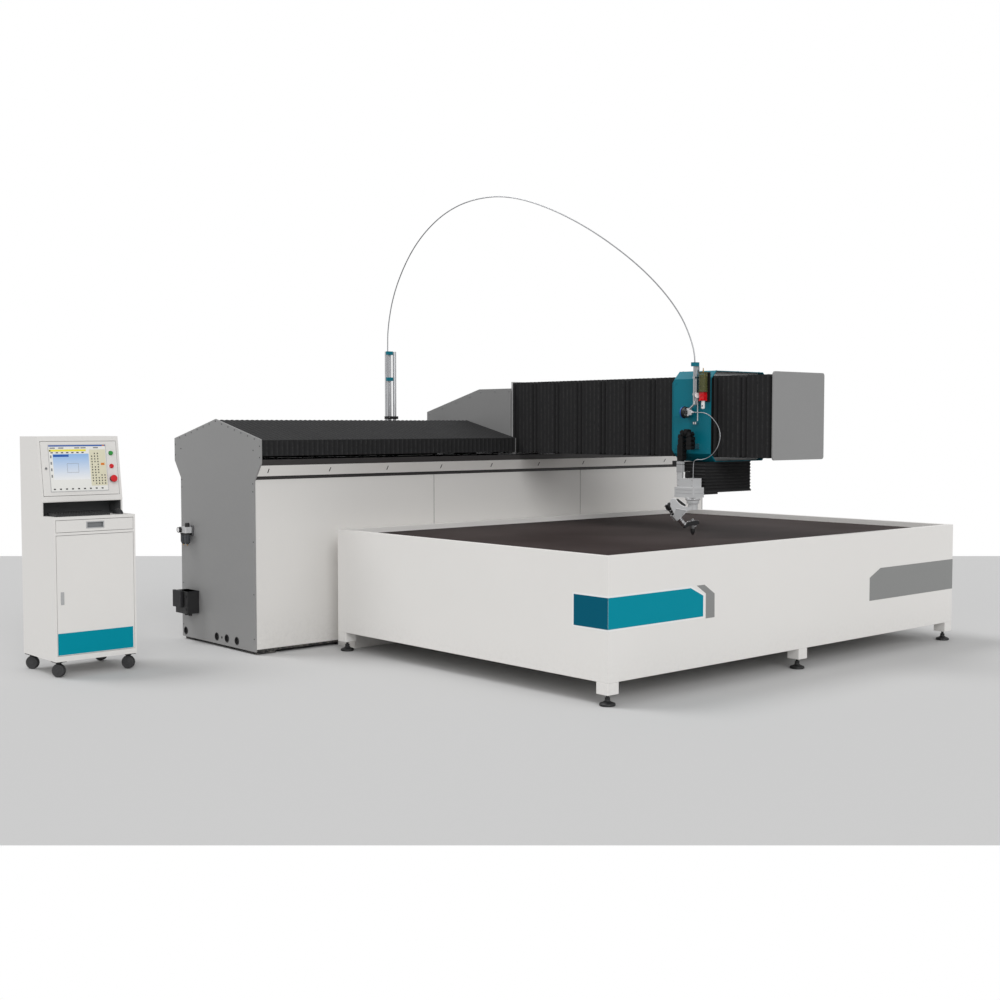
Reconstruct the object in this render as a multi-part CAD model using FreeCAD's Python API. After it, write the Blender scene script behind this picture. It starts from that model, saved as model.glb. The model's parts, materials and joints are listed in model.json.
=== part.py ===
import FreeCAD, Part
import math
import os

# Gantry water-jet cutting machine: catch tank, rail housing with a cantilever beam,
# five-axis head and a control console that stands beside it. All lengths in millimetres.
# Layout frame: X along the rails, Y from the tank front to the rail housing, Z up, with
# the tank's near front corner on the floor at zero. finish() moves it to the middle.

fit = 0.3  # running clearance between pieces of different bodies

# Catch tank
tank_length = 4020.0
tank_width = 2880.0
tank_rim = 940.0
tank_bottom = 150.0
tank_wall = 8.0
rim_lip = 42.0
rim_return = 46.0
rim_sheet = 4.0
slat_depth = 54.0
slat_top = tank_rim - slat_depth
slat_height = 110.0
slat_thick = 6.0
slat_pitch = 60.0
slat_gap = 6.0
ledge_width = 60.0
ledge_height = 50.0
leg_side = 100.0
leg_bottom = 73.0
pad_radius = 53.0
pad_height = 14.0
stem_radius = 11.0

# Rail housing behind the tank, its heights taken from the tank's rim
housing_over_near = 600.0
housing_over_far = 588.0
housing_near = -housing_over_near
housing_length = housing_over_near + tank_length + housing_over_far
housing_gap = 226.0
housing_front = tank_width + housing_gap
housing_depth = 1122.0
housing_rear = housing_front + housing_depth
housing_bottom = 22.0
end_plate = 12.0
ridge_over_rim = 850.0
ridge_height = tank_rim + ridge_over_rim
roof_rise = 155.0
shoulder_drop = 335.0
shoulder_low = ridge_height - shoulder_drop
shoulder_reach = 98.0
waist_drop = 137.0
waist_height = shoulder_low - waist_drop
foot_plate = 22.0
panel_thick = 4.0
panel_count = 3
panel_seam = 5.0
panel_bottom = 40.0
panel_over = 12.0
panel_top = waist_height + panel_over
seal_height = 22.0
strip_thick = 4.0
strip_drop = 38.0
strip_low = waist_height + strip_drop
strip_height = 82.0
strip_high = strip_low + strip_height
lip_height = 45.0
lip_high = strip_high + lip_height
lip_ledge = 8.0
deck_height = strip_high - lip_ledge
rail_width = 40.0
rail_height = 35.0
rail_offset = 430.0
slot_inset = 94.0
slot_pitch = 560.0
slot_length = 34.0
slot_width = 7.0
bridge_inset = 155.0
bridge_drop = 70.0
bridge_height = tank_rim - bridge_drop
cable_hole = 27.0
cable_holes = [(273.0, 78.0), (422.0, 80.0), (575.0, 78.0), (1067.0, 70.0)]

# Roof bellows over the rails
fold_pitch = 46.0
roof_gap = 10.0
fold_depth = 18.0
fold_wall = 18.0
roof_clearance = 27.0
roof_low = lip_high + roof_clearance

# Saddle and beam
beam_shift = 310.0
beam_middle = tank_length / 2 + beam_shift
saddle_length = 694.0
saddle_plate = 12.0
saddle_over = 31.0
saddle_front = housing_front - saddle_over
saddle_crown = saddle_front + 0.36 * (housing_depth + saddle_over + 12.0)
saddle_rear = housing_rear + 12.0
saddle_rise = 270.0
saddle_top = ridge_height + saddle_rise
saddle_rear_rise = 73.0
saddle_rear_top = ridge_height + saddle_rear_rise
saddle_clearance = 17.0
saddle_low = lip_high + saddle_clearance
saddle_inset = 8.0
skirt_height = 120.0
bearing_length = 130.0
bearing_width = 90.0
bearing_inset = 40.0
beam_front = 283.0
beam_flange_rear = housing_front - 2.0
beam_flange = 14.0
beam_half = 305.0
beam_height = 612.0
beam_low = saddle_low
beam_high = beam_low + beam_height
beam_plate = 12.0
beam_plate_over = 14.0
beam_plate_radius = 22.0
core_half = 220.0
core_inset = 61.0
core_low = beam_low + core_inset
core_high = beam_high - core_inset
beam_rail_offset = 150.0
beam_rail_width = 30.0
beam_rail_height = 22.0
beam_fold_pitch = 45.0
beam_fold_depth = 9.0
beam_fold_wall = 15.0
panel_folds = 6

# Carriage ring round the beam
ring_travel = 552.0
ring_front = beam_front + ring_travel
ring_length = 406.0
ring_rear = ring_front + ring_length
ring_over_side = 40.0
ring_left = beam_middle - beam_half - ring_over_side
ring_over_low = 35.0
ring_low = beam_low - ring_over_low
ring_over_high = 41.0
ring_high = beam_high + ring_over_high
ring_corner = 60.0
ring_sheet = 5.0
ring_recess = 50.0
ring_bevel = 28.0
ring_bevel_length = 45.0
ring_hole_inset = 12.0
block_inset = 20.0
block_width = 60.0
block_length = 100.0

# Lifting unit below the ring
lift_over_left = 58.0
lift_left = ring_left - lift_over_left
lift_length = 553.0
lift_right = lift_left + lift_length
lift_front = ring_front + 3.0
lift_width = 224.0
lift_rear = lift_front + lift_width
lift_plate = 12.0
lift_drop = 220.0
lift_plate_high = ring_low - lift_drop
lift_plate_low = lift_plate_high - lift_plate
lift_folds = 9
lift_fold_depth = 7.0
lift_fold_wall = 12.0
ram_inset = 18.0
ram_left = lift_left + ram_inset
ram_thick = 33.0
ram_gap = 22.0
ram_front = lift_rear + ram_gap
ram_width = 46.0
ram_over = 125.0
ram_high = ring_low + ram_over
guide_height = 40.0
guide_low = 15.0
guide_pitch = 60.0

# Five-axis head, heights measured from the nozzle tip
tip_left = 127.0
tip_x = ring_left - tip_left
tip_inset = 59.0
tip_y = ring_front + tip_inset
tip_drop = 318.0
tip_z = lift_plate_low - tip_drop
arm_turn = 150.0
arm_tilt = 49.0
block_left = 48.0
block_right = 48.0
block_front = 40.0
block_rear = 117.0
flange_over = 7.0
flange_low = 284.0
flange_high = 360.0
block_high = 428.0
column_height = 46.0
cover_height = 50.0
seat_radius = 57.0
neck_radius = 47.0
neck_low = 240.0
rotor_radius = 36.0
rotor_low = 192.0
arm_half = 30.0
arm_high = 276.0
gearbox_half = 30.0
gearbox_start = 172.0
gearbox_end = 222.0
motor_radius = 24.0
motor_end = 310.0
output_rim = 28.0
output_radius = 20.0
output_start = 103.0
bracket_half = 18.0
nozzle_radius = 13.0
shield_radius = 17.5

# Fittings on the carriage
tube_radius = 5.0
drop_x = ring_left - 52.0
drop_y = ring_front + 115.0
clamp_top = ring_high + 62.0
clamp_height = 30.0
clamp_thick = 14.0
profile_width = 34.0
profile_left = ring_left - profile_width
profile_front = drop_y - 4.0
profile_height = 291.0
profile_low = clamp_top - clamp_height - profile_height
profile_rod = 121.0
gauge_radius = 18.0
hopper_x = ring_left - 45.0
hopper_y = ring_front + 38.0
hopper_radius = 34.0
hopper_low = ring_high - 163.0
hopper_high = hopper_low + 150.0
valve_half = 21.0
valve_height = 66.0
outlet_height = 61.0
swivel_radius = 46.0
swivel_x = ring_left - swivel_radius - 2.0
swivel_y = ring_front + 226.0
swivel_front = swivel_y - 89.0
swivel_z = profile_low - 56.0
swivel_hub = 41.0
swivel_block = 27.0
elbow_rise = 62.0
elbow_nut = 24.0
loop_radius = 3.2
chain_width = 50.0
chain_left = ring_left - chain_width - 49.0
chain_front = ring_front + 107.0
chain_bend = 66.0
chain_link = 33.0
chain_top = ring_low + 247.0
chain_front_leg = 160.0
chain_rear_leg = 242.0
chain_pitch = 30.0

# Tube mast behind the rail housing
mast_shift = 399.0
mast_x = tank_length / 2 - mast_shift
mast_gap = 140.0
mast_y = housing_rear + mast_gap
mast_width = 44.0
mast_low = 600.0
mast_over = 630.0
mast_high = ridge_height + mast_over
stay_gap = 34.0
stay_radius = 17.0

# Control console
console_gap = 928.0
console_width = 603.0
console_left = housing_near - console_gap - console_width
console_front = housing_front + 89.0
console_depth = 545.0
console_rear = console_front + console_depth
console_low = 112.0
console_shelf = 1110.0
console_brow = 1212.0
console_high = 1663.0
recess_front = console_front + 193.0
lean = 64.0
recess_depth = 190.0
recess_side = 12.0
caster_radius = 46.0
caster_width = 32.0
caster_inset = 42.0
drawer_high = console_shelf - 20.0
drawer_low = drawer_high - 87.0
drawer_side = 14.0
drawer_depth = 330.0
door_low = console_low + 38.0
door_high = drawer_low - 18.0
door_side = 14.0
door_thick = 18.0
door_depth = 420.0
door_gap = 3.0
hinge_radius = 3.0
hinge_inset = 6.0
hinge_depth = 12.0
screen_margin = 17.0
screen_low = 34.0
screen_high = console_high - console_brow - 29.0
keyboard_length = 400.0
keyboard_depth = 140.0
keyboard_inset = 52.0


def vec(x, y, z):
    return FreeCAD.Vector(x, y, z)


def block(x0, x1, y0, y1, z0, z1):
    return Part.makeBox(x1 - x0, y1 - y0, z1 - z0, vec(x0, y0, z0))


def face(points):
    return Part.Face(Part.makePolygon(points + [points[0]]))


def along_x(outline, x0, x1):
    return face([vec(x0, y, z) for y, z in outline]).extrude(vec(x1 - x0, 0, 0))


def along_y(outline, y0, y1):
    return face([vec(x, y0, z) for x, z in outline]).extrude(vec(0, y1 - y0, 0))


def rod(start, direction, radius, length):
    return Part.makeCylinder(radius, length, start, direction)


def turned(profile):
    """Solid of revolution about Z from (radius, height) pairs."""
    return face([vec(r, 0, z) for r, z in profile]).revolve(vec(0, 0, 0), vec(0, 0, 1), 360)


def joined(first, *others):
    return first.fuse(list(others)).removeSplitter()


def round_edges(solid, radius, wanted):
    """Fillet the edges whose middle point passes the test."""
    edges = [e for e in solid.Edges if wanted(e)]
    return solid.makeFillet(radius, edges)


def upright(edge):
    start, end = edge.Vertexes[0].Point, edge.Vertexes[-1].Point
    return abs(start.x - end.x) < 1e-6 and abs(start.y - end.y) < 1e-6


def routed(points, radius):
    """Tube along straight runs joined by tangent arcs."""
    runs = [(b - a).Length for a, b in zip(points, points[1:])]
    edges = []
    start = points[0]
    for i in range(1, len(points) - 1):
        back = (points[i - 1] - points[i]).normalize()
        ahead = (points[i + 1] - points[i]).normalize()
        turn = math.pi - back.getAngle(ahead)
        set_back = 0.45 * min(runs[i - 1], runs[i])
        bend = set_back / math.tan(turn / 2)
        first = points[i] + back * set_back
        last = points[i] + ahead * set_back
        half = (back + ahead).normalize()
        reach = bend / math.cos(turn / 2) - bend
        middle = points[i] + half * reach
        edges.append(Part.makeLine(start, first))
        edges.append(Part.Arc(first, middle, last).toShape())
        start = last
    edges.append(Part.makeLine(start, points[-1]))
    path = Part.Wire(edges)
    direction = points[1] - points[0]
    section = Part.Wire(Part.makeCircle(radius, points[0], direction))
    tube = path.makePipeShell([section], True, False)
    wanted = math.pi * radius * radius * path.Length
    print("tube length", round(path.Length), "volume ratio", round(tube.Volume / wanted, 4))
    return tube


nodes = {}

# Tank

legs_x = [leg_side / 2, tank_length / 2, tank_length - leg_side / 2]
legs_y = [leg_side / 2, tank_width - leg_side / 2]


def tank_shell():
    body = block(0, tank_length, 0, tank_width, tank_bottom, tank_rim)
    inside = block(tank_wall, tank_length - tank_wall, tank_wall, tank_width - tank_wall,
                   tank_bottom + tank_wall, tank_rim - tank_wall)
    out = rim_lip - rim_sheet
    fold = block(out, tank_length - out, out, tank_width - out, tank_rim - rim_return, tank_rim - tank_wall)
    mouth = block(rim_lip, tank_length - rim_lip, rim_lip, tank_width - rim_lip,
                  tank_rim - rim_return - 1, tank_rim + 1)
    return joined(body.cut(inside), fold).cut(mouth)


def slat_bed():
    """Loose steel slats on edge over bearers that hang on the tank's long walls."""
    low = slat_top - slat_height
    pieces = []
    count = int((tank_length - 2 * tank_wall - 2 * slat_gap) / slat_pitch)
    first = (tank_length - (count - 1) * slat_pitch) / 2
    for i in range(count):
        x = first + i * slat_pitch
        pieces.append(block(x - slat_thick / 2, x + slat_thick / 2, tank_wall + slat_gap,
                            tank_width - tank_wall - slat_gap, low, slat_top))
    for y0 in (tank_wall, (tank_width - ledge_width) / 2, tank_width - tank_wall - ledge_width):
        pieces.append(block(tank_wall, tank_length - tank_wall, y0, y0 + ledge_width,
                            low - ledge_height, low))
    return Part.makeCompound(pieces)


def tank_legs():
    foot = turned([(0, 0), (pad_radius, 0), (pad_radius, pad_height), (stem_radius + 9, 32),
                   (stem_radius + 5, 40), (stem_radius, 44), (stem_radius, leg_bottom), (0, leg_bottom)])
    pieces = []
    for x in legs_x:
        for y in legs_y:
            post = block(x - leg_side / 2, x + leg_side / 2, y - leg_side / 2, y + leg_side / 2,
                         leg_bottom, tank_bottom)
            pieces.append(joined(post, foot.translated(vec(x, y, 0))))
    return Part.makeCompound(pieces)


def tank_bridge():
    """Closed box between tank and housing, with room for the middle leg's pad."""
    bridge = block(bridge_inset, tank_length - bridge_inset, tank_width, housing_front, 0, bridge_height)
    return bridge.cut(rod(vec(legs_x[1], legs_y[1], -1), vec(0, 0, 1), pad_radius + 2, pad_height + 8))


nodes["tank_shell"] = tank_shell()
nodes["slat_bed"] = slat_bed()
nodes["tank_legs"] = tank_legs()
nodes["tank_bridge"] = tank_bridge()

# Rail housing

housing_far = housing_near + housing_length
middle_y = housing_front + housing_depth / 2
shoulder_half = housing_depth / 2 + shoulder_reach
roof_slope = roof_rise / shoulder_half
shoulder_high = ridge_height - roof_rise
inner_near = housing_near + end_plate
inner_far = housing_far - end_plate


def mirrored(half):
    """Closed (y, z) outline from its rear half, given from the floor to the ridge."""
    rear = [(middle_y + y, z) for y, z in half]
    front = [(middle_y - y, z) for y, z in reversed(half) if y > 0]
    return rear + front


def roof_outline(inset, low):
    half = shoulder_half - inset
    top = ridge_height - inset * math.sqrt(1 + roof_slope ** 2)
    return mirrored([(half, low), (half, top - half * roof_slope), (0, top)])


plate_outline = mirrored([(housing_depth / 2, housing_bottom), (housing_depth / 2, waist_height),
                          (shoulder_half, shoulder_low), (shoulder_half, shoulder_high),
                          (0, ridge_height)])


def end_plates():
    near = along_x(plate_outline, housing_near, inner_near)
    for y, z in cable_holes:
        near = near.cut(rod(vec(housing_near - 1, housing_front + y, z), vec(1, 0, 0), cable_hole, end_plate + 2))
    far = along_x(plate_outline, inner_far, housing_far)
    return Part.makeCompound([near, far])


def housing_frame():
    """Closed steel housing with foot plates at its corners."""
    half = housing_depth / 2 - panel_thick
    step = half - 38
    core = along_x(mirrored([(half, foot_plate), (half, strip_low - seal_height), (step, strip_low - seal_height),
                             (step, deck_height), (0, deck_height)]), inner_near, inner_far)
    feet = []
    for x in (inner_near + 90, (inner_near + inner_far) / 2, inner_far - 90):
        for y in (middle_y - half + 80, middle_y + half - 80):
            feet.append(block(x - 80, x + 80, y - 70, y + 70, 0, foot_plate))
    return joined(core, *feet)


def side_panels():
    pieces = []
    span = (inner_far - inner_near + panel_seam) / panel_count
    for i in range(panel_count):
        x0 = inner_near + i * span
        for y in (housing_front, housing_front + housing_depth - panel_thick):
            pieces.append(block(x0, x0 + span - panel_seam, y, y + panel_thick, panel_bottom, panel_top))
    return Part.makeCompound(pieces)


def rail_covers():
    """Slanted light strips with drain slots, and the dark seal lips above and below them."""
    waist = housing_depth / 2
    root = waist - 42
    slant = (shoulder_reach - 8) / (shoulder_low - waist_height)
    low_y = waist + (strip_low - waist_height) * slant
    high_y = waist + (strip_high - waist_height) * slant
    slot_start = housing_near + slot_inset
    pieces = []
    for side in (-1, 1):
        strip = along_x([(middle_y + side * y, z) for y, z in (
            (low_y, strip_low), (high_y, strip_high), (high_y - strip_thick, strip_high),
            (root, strip_high), (root, strip_low))], inner_near, inner_far)
        count = int((inner_far - slot_start) / slot_pitch) + 1
        for i in range(count):
            x = slot_start + i * slot_pitch
            z = (strip_low + strip_high) / 2
            y = middle_y + side * (low_y + high_y) / 2
            strip = strip.cut(block(x - slot_width / 2, x + slot_width / 2, y - 14, y + 14,
                                    z - slot_length / 2, z + slot_length / 2))
        lip = along_x([(middle_y + side * y, z) for y, z in (
            (root, strip_high), (high_y, strip_high), (high_y + 4, lip_high), (high_y - 8, lip_high),
            (high_y - 12, strip_high + lip_ledge), (root, strip_high + lip_ledge))], inner_near, inner_far)
        edges = sorted([middle_y + side * root, middle_y + side * (waist + 6)])
        seal = block(inner_near, inner_far, edges[0], edges[1], strip_low - seal_height, strip_low)
        pieces += [strip, lip, seal]
    return Part.makeCompound(pieces)


def housing_rails():
    pieces = []
    for side in (-1, 1):
        y = middle_y + side * rail_offset
        w = rail_width / 2
        top = deck_height + rail_height
        pieces.append(along_x([(y - w, deck_height), (y + w, deck_height), (y + w, deck_height + 12),
                               (y + w - 7, deck_height + 18), (y + w, top), (y - w, top),
                               (y - w + 7, deck_height + 18), (y - w, deck_height + 12)],
                              inner_near, inner_far))
    return Part.makeCompound(pieces)


def folded(outline, axis, start, end, pitch, hollow):
    """Bellows: a ruled loft between crest and valley outlines with a straight hollow."""
    folds = max(2, round((end - start) / pitch))
    step = (end - start) / folds / 2
    wires = []
    for i in range(2 * folds + 1):
        place = start + i * step
        points = [vec(*axis(place, a, b)) for a, b in outline(i)]
        wires.append(Part.makePolygon(points + [points[0]]))
    skin = Part.makeLoft(wires, True, True)
    inner = [vec(*axis(start - 1, a, b)) for a, b in hollow]
    way = vec(*axis(end + 1, 0, 0)) - vec(*axis(start - 1, 0, 0))
    return skin.cut(face(inner).extrude(way))


def roof_bellows(start, end):
    def outline(i):
        return roof_outline(roof_gap + (fold_depth if i % 2 else 0), roof_low)
    hollow = roof_outline(roof_gap + fold_depth + fold_wall, roof_low - 5)
    return folded(outline, lambda p, y, z: (p, y, z), start, end, fold_pitch, hollow)


saddle_near = beam_middle - saddle_length / 2
saddle_far = beam_middle + saddle_length / 2

nodes["end_plates"] = end_plates()
nodes["housing_frame"] = housing_frame()
nodes["side_panels"] = side_panels()
nodes["rail_covers"] = rail_covers()
nodes["housing_rails"] = housing_rails()
nodes["roof_bellows_near"] = roof_bellows(inner_near, saddle_near - fit)
nodes["roof_bellows_far"] = roof_bellows(saddle_far + fit, inner_far)


def air_unit():
    """Filter and regulator on a small bracket, with a gauge and two bowls."""
    x = housing_near
    y = housing_rear - 142
    z = waist_height - 452
    back = block(x - 14, x, y - 62, y + 62, z - 8, z + 70)
    body = block(x - 70, x - 14, y - 56, y + 56, z + 10, z + 58)
    body = round_edges(body, 6, upright)
    bowl = turned([(0, 0), (10, 0), (18, 10), (24, 22), (24, 92), (0, 92)])
    pieces = [back, body]
    for shift in (-30, 30):
        pieces.append(bowl.translated(vec(x - 42, y + shift, z - 82)))
    knob = turned([(0, 0), (19, 0), (19, 26), (15, 34), (0, 34)])
    pieces.append(knob.translated(vec(x - 42, y - 30, z + 58)))
    pieces.append(rod(vec(x - 70, y + 26, z + 34), vec(-1, 0, 0), 22, 22))
    pieces.append(rod(vec(x - 42, y + 56, z + 34), vec(0, 1, 0), 9, 26))
    return Part.makeCompound(pieces)


def junction_box():
    x = housing_near
    y0 = housing_rear - 278
    z0 = housing_bottom + 213
    box = round_edges(block(x - 110, x, y0, y0 + 190, z0, z0 + 180), 8, upright)
    lid = round_edges(block(x - 134, x - 110, y0 + 60, y0 + 194, z0 + 50, z0 + 184), 6, upright)
    glands = [rod(vec(x - 55, y0 + s, z0), vec(0, 0, -1), 14, 22) for s in (50, 110)]
    return Part.makeCompound([box, lid] + glands)


nodes["air_unit"] = air_unit()
nodes["junction_box"] = junction_box()


def tube_mast():
    """Grooved profile and a round post on stand-off blocks, with clamps that carry the tube."""
    x1, y1 = mast_x + mast_width, mast_y + mast_width
    x, y = (mast_x + x1) / 2, (mast_y + y1) / 2
    mast = block(mast_x, x1, mast_y, y1, mast_low, mast_high)
    for side_x in (mast_x, x1):
        mast = mast.cut(block(side_x - 6, side_x + 6, y - 4, y + 4, mast_low - 1, mast_high + 1))
    mast = mast.cut(block(x - 4, x + 4, mast_y - 1, mast_y + 6, mast_low - 1, mast_high + 1))
    post_x = x1 + stay_gap + stay_radius
    post = rod(vec(post_x, y, mast_low), vec(0, 0, 1), stay_radius, mast_high - mast_low)
    stays = []
    for z in (mast_low + 60, shoulder_low - 255):
        stays.append(block(mast_x, post_x + stay_radius, housing_rear, mast_y, z, z + 60))
        stays.append(block(post_x - stay_radius - 4, post_x + stay_radius + 4, mast_y, y, z, z + 60))
    pieces = [joined(mast, post, *stays)]
    for z in (mast_high, mast_high - 240):
        jaw = block(mast_tube_x - 12, x1 + 2, mast_y - 26, mast_y, z - 32, z)
        jaw = jaw.cut(rod(vec(mast_tube_x, mast_tube_y, z - 40), vec(0, 0, 1), tube_radius + fit, 50))
        pieces.append(round_edges(jaw, 4, upright))
    return Part.makeCompound(pieces)


mast_tube_x = mast_x - 10
mast_tube_y = mast_y - 14
nodes["tube_mast"] = tube_mast()

# The arch of the pressure tube, as distance along its plane and height over the mast
arch_rear = [(0, -272), (0, 0), (4, 220), (80, 512), (240, 786), (430, 992), (667, 1146),
             (897, 1230), (1121, 1264), (1244, 1264)]
arch_front = [(1244, 1264), (1366, 1264), (1605, 1223), (1863, 1141), (2162, 1014), (2497, 834),
              (2866, 586), (3132, 354), (3306, 147), (3395, -30), (3431, -150), (3431, -205)]


def arch_points(route):
    span = math.hypot(drop_x - mast_tube_x, drop_y - mast_tube_y)
    scale = span / arch_front[-1][0]
    direction = vec(drop_x - mast_tube_x, drop_y - mast_tube_y, 0).normalize()
    base = vec(mast_tube_x, mast_tube_y, mast_high)
    return [base + direction * (s * scale) + vec(0, 0, z) for s, z in route]


nodes["pressure_tube_rear"] = routed(arch_points(arch_rear), tube_radius)
nodes["pressure_tube_front"] = routed(arch_points(arch_front), tube_radius)

# Saddle and beam

def saddle_shape(inset, x0, x1):
    roof = along_x(roof_outline(saddle_inset, saddle_low), x0, x1)
    low = saddle_low + skirt_height
    rear = saddle_rear - inset
    hood = along_x([(saddle_front, low), (saddle_front, saddle_top - inset), (saddle_crown, saddle_top - inset),
                    (rear, saddle_rear_top - inset), (rear, low)], x0, x1)
    return joined(roof, hood)


def saddle_plates():
    near = saddle_shape(0, saddle_near, saddle_near + saddle_plate)
    far = saddle_shape(0, saddle_far - saddle_plate, saddle_far)
    return Part.makeCompound([near, far])


def saddle_cover():
    body = saddle_shape(10, saddle_near + saddle_plate, saddle_far - saddle_plate)
    return body.cut(block(saddle_near, saddle_far, 0, beam_flange_rear, 0, saddle_top + 10))


def saddle_bearings():
    pieces = []
    rail_top = deck_height + rail_height
    for x in (saddle_near + bearing_inset, saddle_far - bearing_inset - bearing_length):
        for side in (-1, 1):
            y = middle_y + side * rail_offset
            pieces.append(block(x, x + bearing_length, y - bearing_width / 2, y + bearing_width / 2,
                                rail_top + fit, saddle_low))
    return Part.makeCompound(pieces)


core_rear = beam_flange_rear - beam_flange


def beam_core():
    x0, x1 = beam_middle - core_half, beam_middle + core_half
    core = block(x0, x1, beam_front + beam_plate, core_rear, core_low, core_high)
    flange = block(beam_middle - beam_half - 7, beam_middle + beam_half + 7, core_rear, beam_flange_rear,
                   beam_low - 10, beam_high + 6)
    rails = []
    for side in (-1, 1):
        x = beam_middle + side * beam_rail_offset
        w = beam_rail_width / 2
        rails.append(block(x - w, x + w, beam_front + beam_plate, core_rear,
                           core_high, core_high + beam_rail_height))
    return Part.makeCompound([core, flange] + rails)


def beam_end_plate():
    half = beam_half + beam_plate_over - 7
    plate = block(beam_middle - half, beam_middle + half, beam_front, beam_front + beam_plate,
                  beam_low - beam_plate_over, beam_high + beam_plate_over + 6)

    def corner(edge):
        start, end = edge.Vertexes[0].Point, edge.Vertexes[-1].Point
        return abs(start.x - end.x) < 1e-6 and abs(start.z - end.z) < 1e-6
    return round_edges(plate, beam_plate_radius, corner)


def beam_bellows(start, end):
    """Side panels with a deeper fold between each group of folds."""
    def box_outline(inset):
        x0, x1 = beam_middle - beam_half + inset, beam_middle + beam_half - inset
        z0, z1 = beam_low + inset, beam_high - inset
        return [(x0, z0), (x1, z0), (x1, z1), (x0, z1)]

    def outline(i):
        if i % 2 == 0:
            return box_outline(0)
        return box_outline(beam_fold_depth if (i // 2) % panel_folds else 2 * beam_fold_depth)
    hollow = box_outline(2 * beam_fold_depth + beam_fold_wall - 10)
    return folded(outline, lambda p, x, z: (x, p, z), start, end, beam_fold_pitch, hollow)


nodes["saddle_plates"] = saddle_plates()
nodes["saddle_cover"] = saddle_cover()
nodes["saddle_bearings"] = saddle_bearings()
nodes["beam_core"] = beam_core()
nodes["beam_end_plate"] = beam_end_plate()
nodes["beam_bellows_front"] = beam_bellows(beam_front + beam_plate, ring_front + ring_recess - fit)
nodes["beam_bellows_rear"] = beam_bellows(ring_rear - ring_recess + fit, core_rear)

# Carriage

ring_right = 2 * beam_middle - ring_left


def ring_outline(inset):
    c = ring_corner
    x0, x1 = ring_left + inset, ring_right - inset
    z0, z1 = ring_low + inset, ring_high - inset
    return [(x0 + c, z0), (x1 - c, z0), (x1, z0 + c), (x1, z1 - c), (x1 - c, z1), (x0 + c, z1),
            (x0, z1 - c), (x0, z0 + c)]


def wire_y(outline, y):
    points = [vec(x, y, z) for x, z in outline]
    return Part.makePolygon(points + [points[0]])


def carriage_ring():
    """Octagonal sheet hood with a bevelled rear edge, and a frame set back inside it."""
    bevel_start = ring_rear - ring_bevel_length
    shell = along_y(ring_outline(0), ring_front, bevel_start)
    bevel = Part.makeLoft([wire_y(ring_outline(0), bevel_start), wire_y(ring_outline(ring_bevel), ring_rear)],
                          True, True)
    shell = joined(shell, bevel)
    shell = shell.cut(along_y(ring_outline(ring_sheet), ring_front - 1, ring_front + ring_recess))
    rear_cut = Part.makeLoft([wire_y(ring_outline(ring_sheet), bevel_start),
                              wire_y(ring_outline(ring_bevel + ring_sheet), ring_rear)], True, True)
    rear_rest = along_y(ring_outline(ring_sheet), ring_rear - ring_recess, bevel_start)
    shell = shell.cut(rear_cut).cut(rear_rest)
    x0, x1 = beam_middle - beam_half + ring_hole_inset, beam_middle + beam_half - ring_hole_inset
    z0, z1 = beam_low + ring_hole_inset, beam_high - ring_hole_inset
    shell = shell.cut(block(x0, x1, ring_front, ring_rear, z0, z1))
    notch = 1.5
    return shell.cut(block(beam_middle - beam_half - notch, beam_middle + beam_half + notch,
                           ring_rear - ring_recess, ring_rear + 1, beam_low - notch, beam_high + notch))


def carriage_bearings():
    """Blocks on the beam's rails, and the guide that holds the lifting ram."""
    pieces = []
    low = core_high + beam_rail_height + fit
    high = beam_high - ring_hole_inset
    for side in (-1, 1):
        x = beam_middle + side * beam_rail_offset
        w = block_width / 2
        for y in (ring_front + ring_recess + block_inset, ring_rear - ring_recess - block_inset - block_length):
            pieces.append(block(x - w, x + w, y, y + block_length, low, high))
    face_x = ram_left + ram_thick
    for z in (ring_low + guide_low, ring_low + guide_low + guide_pitch):
        pieces.append(block(face_x + fit, ring_left, ram_front + 8, ram_front + ram_width - 8, z, z + guide_height))
    return Part.makeCompound(pieces)


def tube_profile():
    """Grooved profile on the ring's left face, its clamps, gauge and lower rod."""
    x0, y0 = profile_left, profile_front
    x1, y1 = ring_left, profile_front + profile_width
    body = block(x0, x1, y0, y1, profile_low, clamp_top - clamp_height)
    x, y = (x0 + x1) / 2, (y0 + y1) / 2
    body = body.cut(block(x0 - 1, x0 + 6, y - 4, y + 4, profile_low - 1, clamp_top))
    body = body.cut(block(x - 4, x + 4, y0 - 1, y0 + 6, profile_low - 1, clamp_top))
    top = block(drop_x - 12, x1 - 10, drop_y - 12, y1, clamp_top - clamp_height, clamp_top)
    pieces = [round_edges(top, 5, upright)]
    for z in (profile_low + 199, profile_low + 73):
        jaw = block(drop_x - 11, x0, drop_y - 11, drop_y + 11, z, z + clamp_thick)
        pieces.append(jaw.cut(rod(vec(drop_x, drop_y, z - 1), vec(0, 0, 1), tube_radius + fit, clamp_thick + 2)))
    z = profile_low + 72
    outward = vec(-0.67, -0.74, 0)
    stem = vec(x0 + 3, y0 + 3, z)
    pieces.append(rod(stem, outward, 4, 34))
    pieces.append(rod(stem + outward * 28, outward, gauge_radius, 14))
    pieces.append(rod(vec(x1 - 24, y0 - 4, profile_low - profile_rod), vec(0, 0, 1), 5, profile_rod + 80))
    return joined(body, *pieces)


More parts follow.
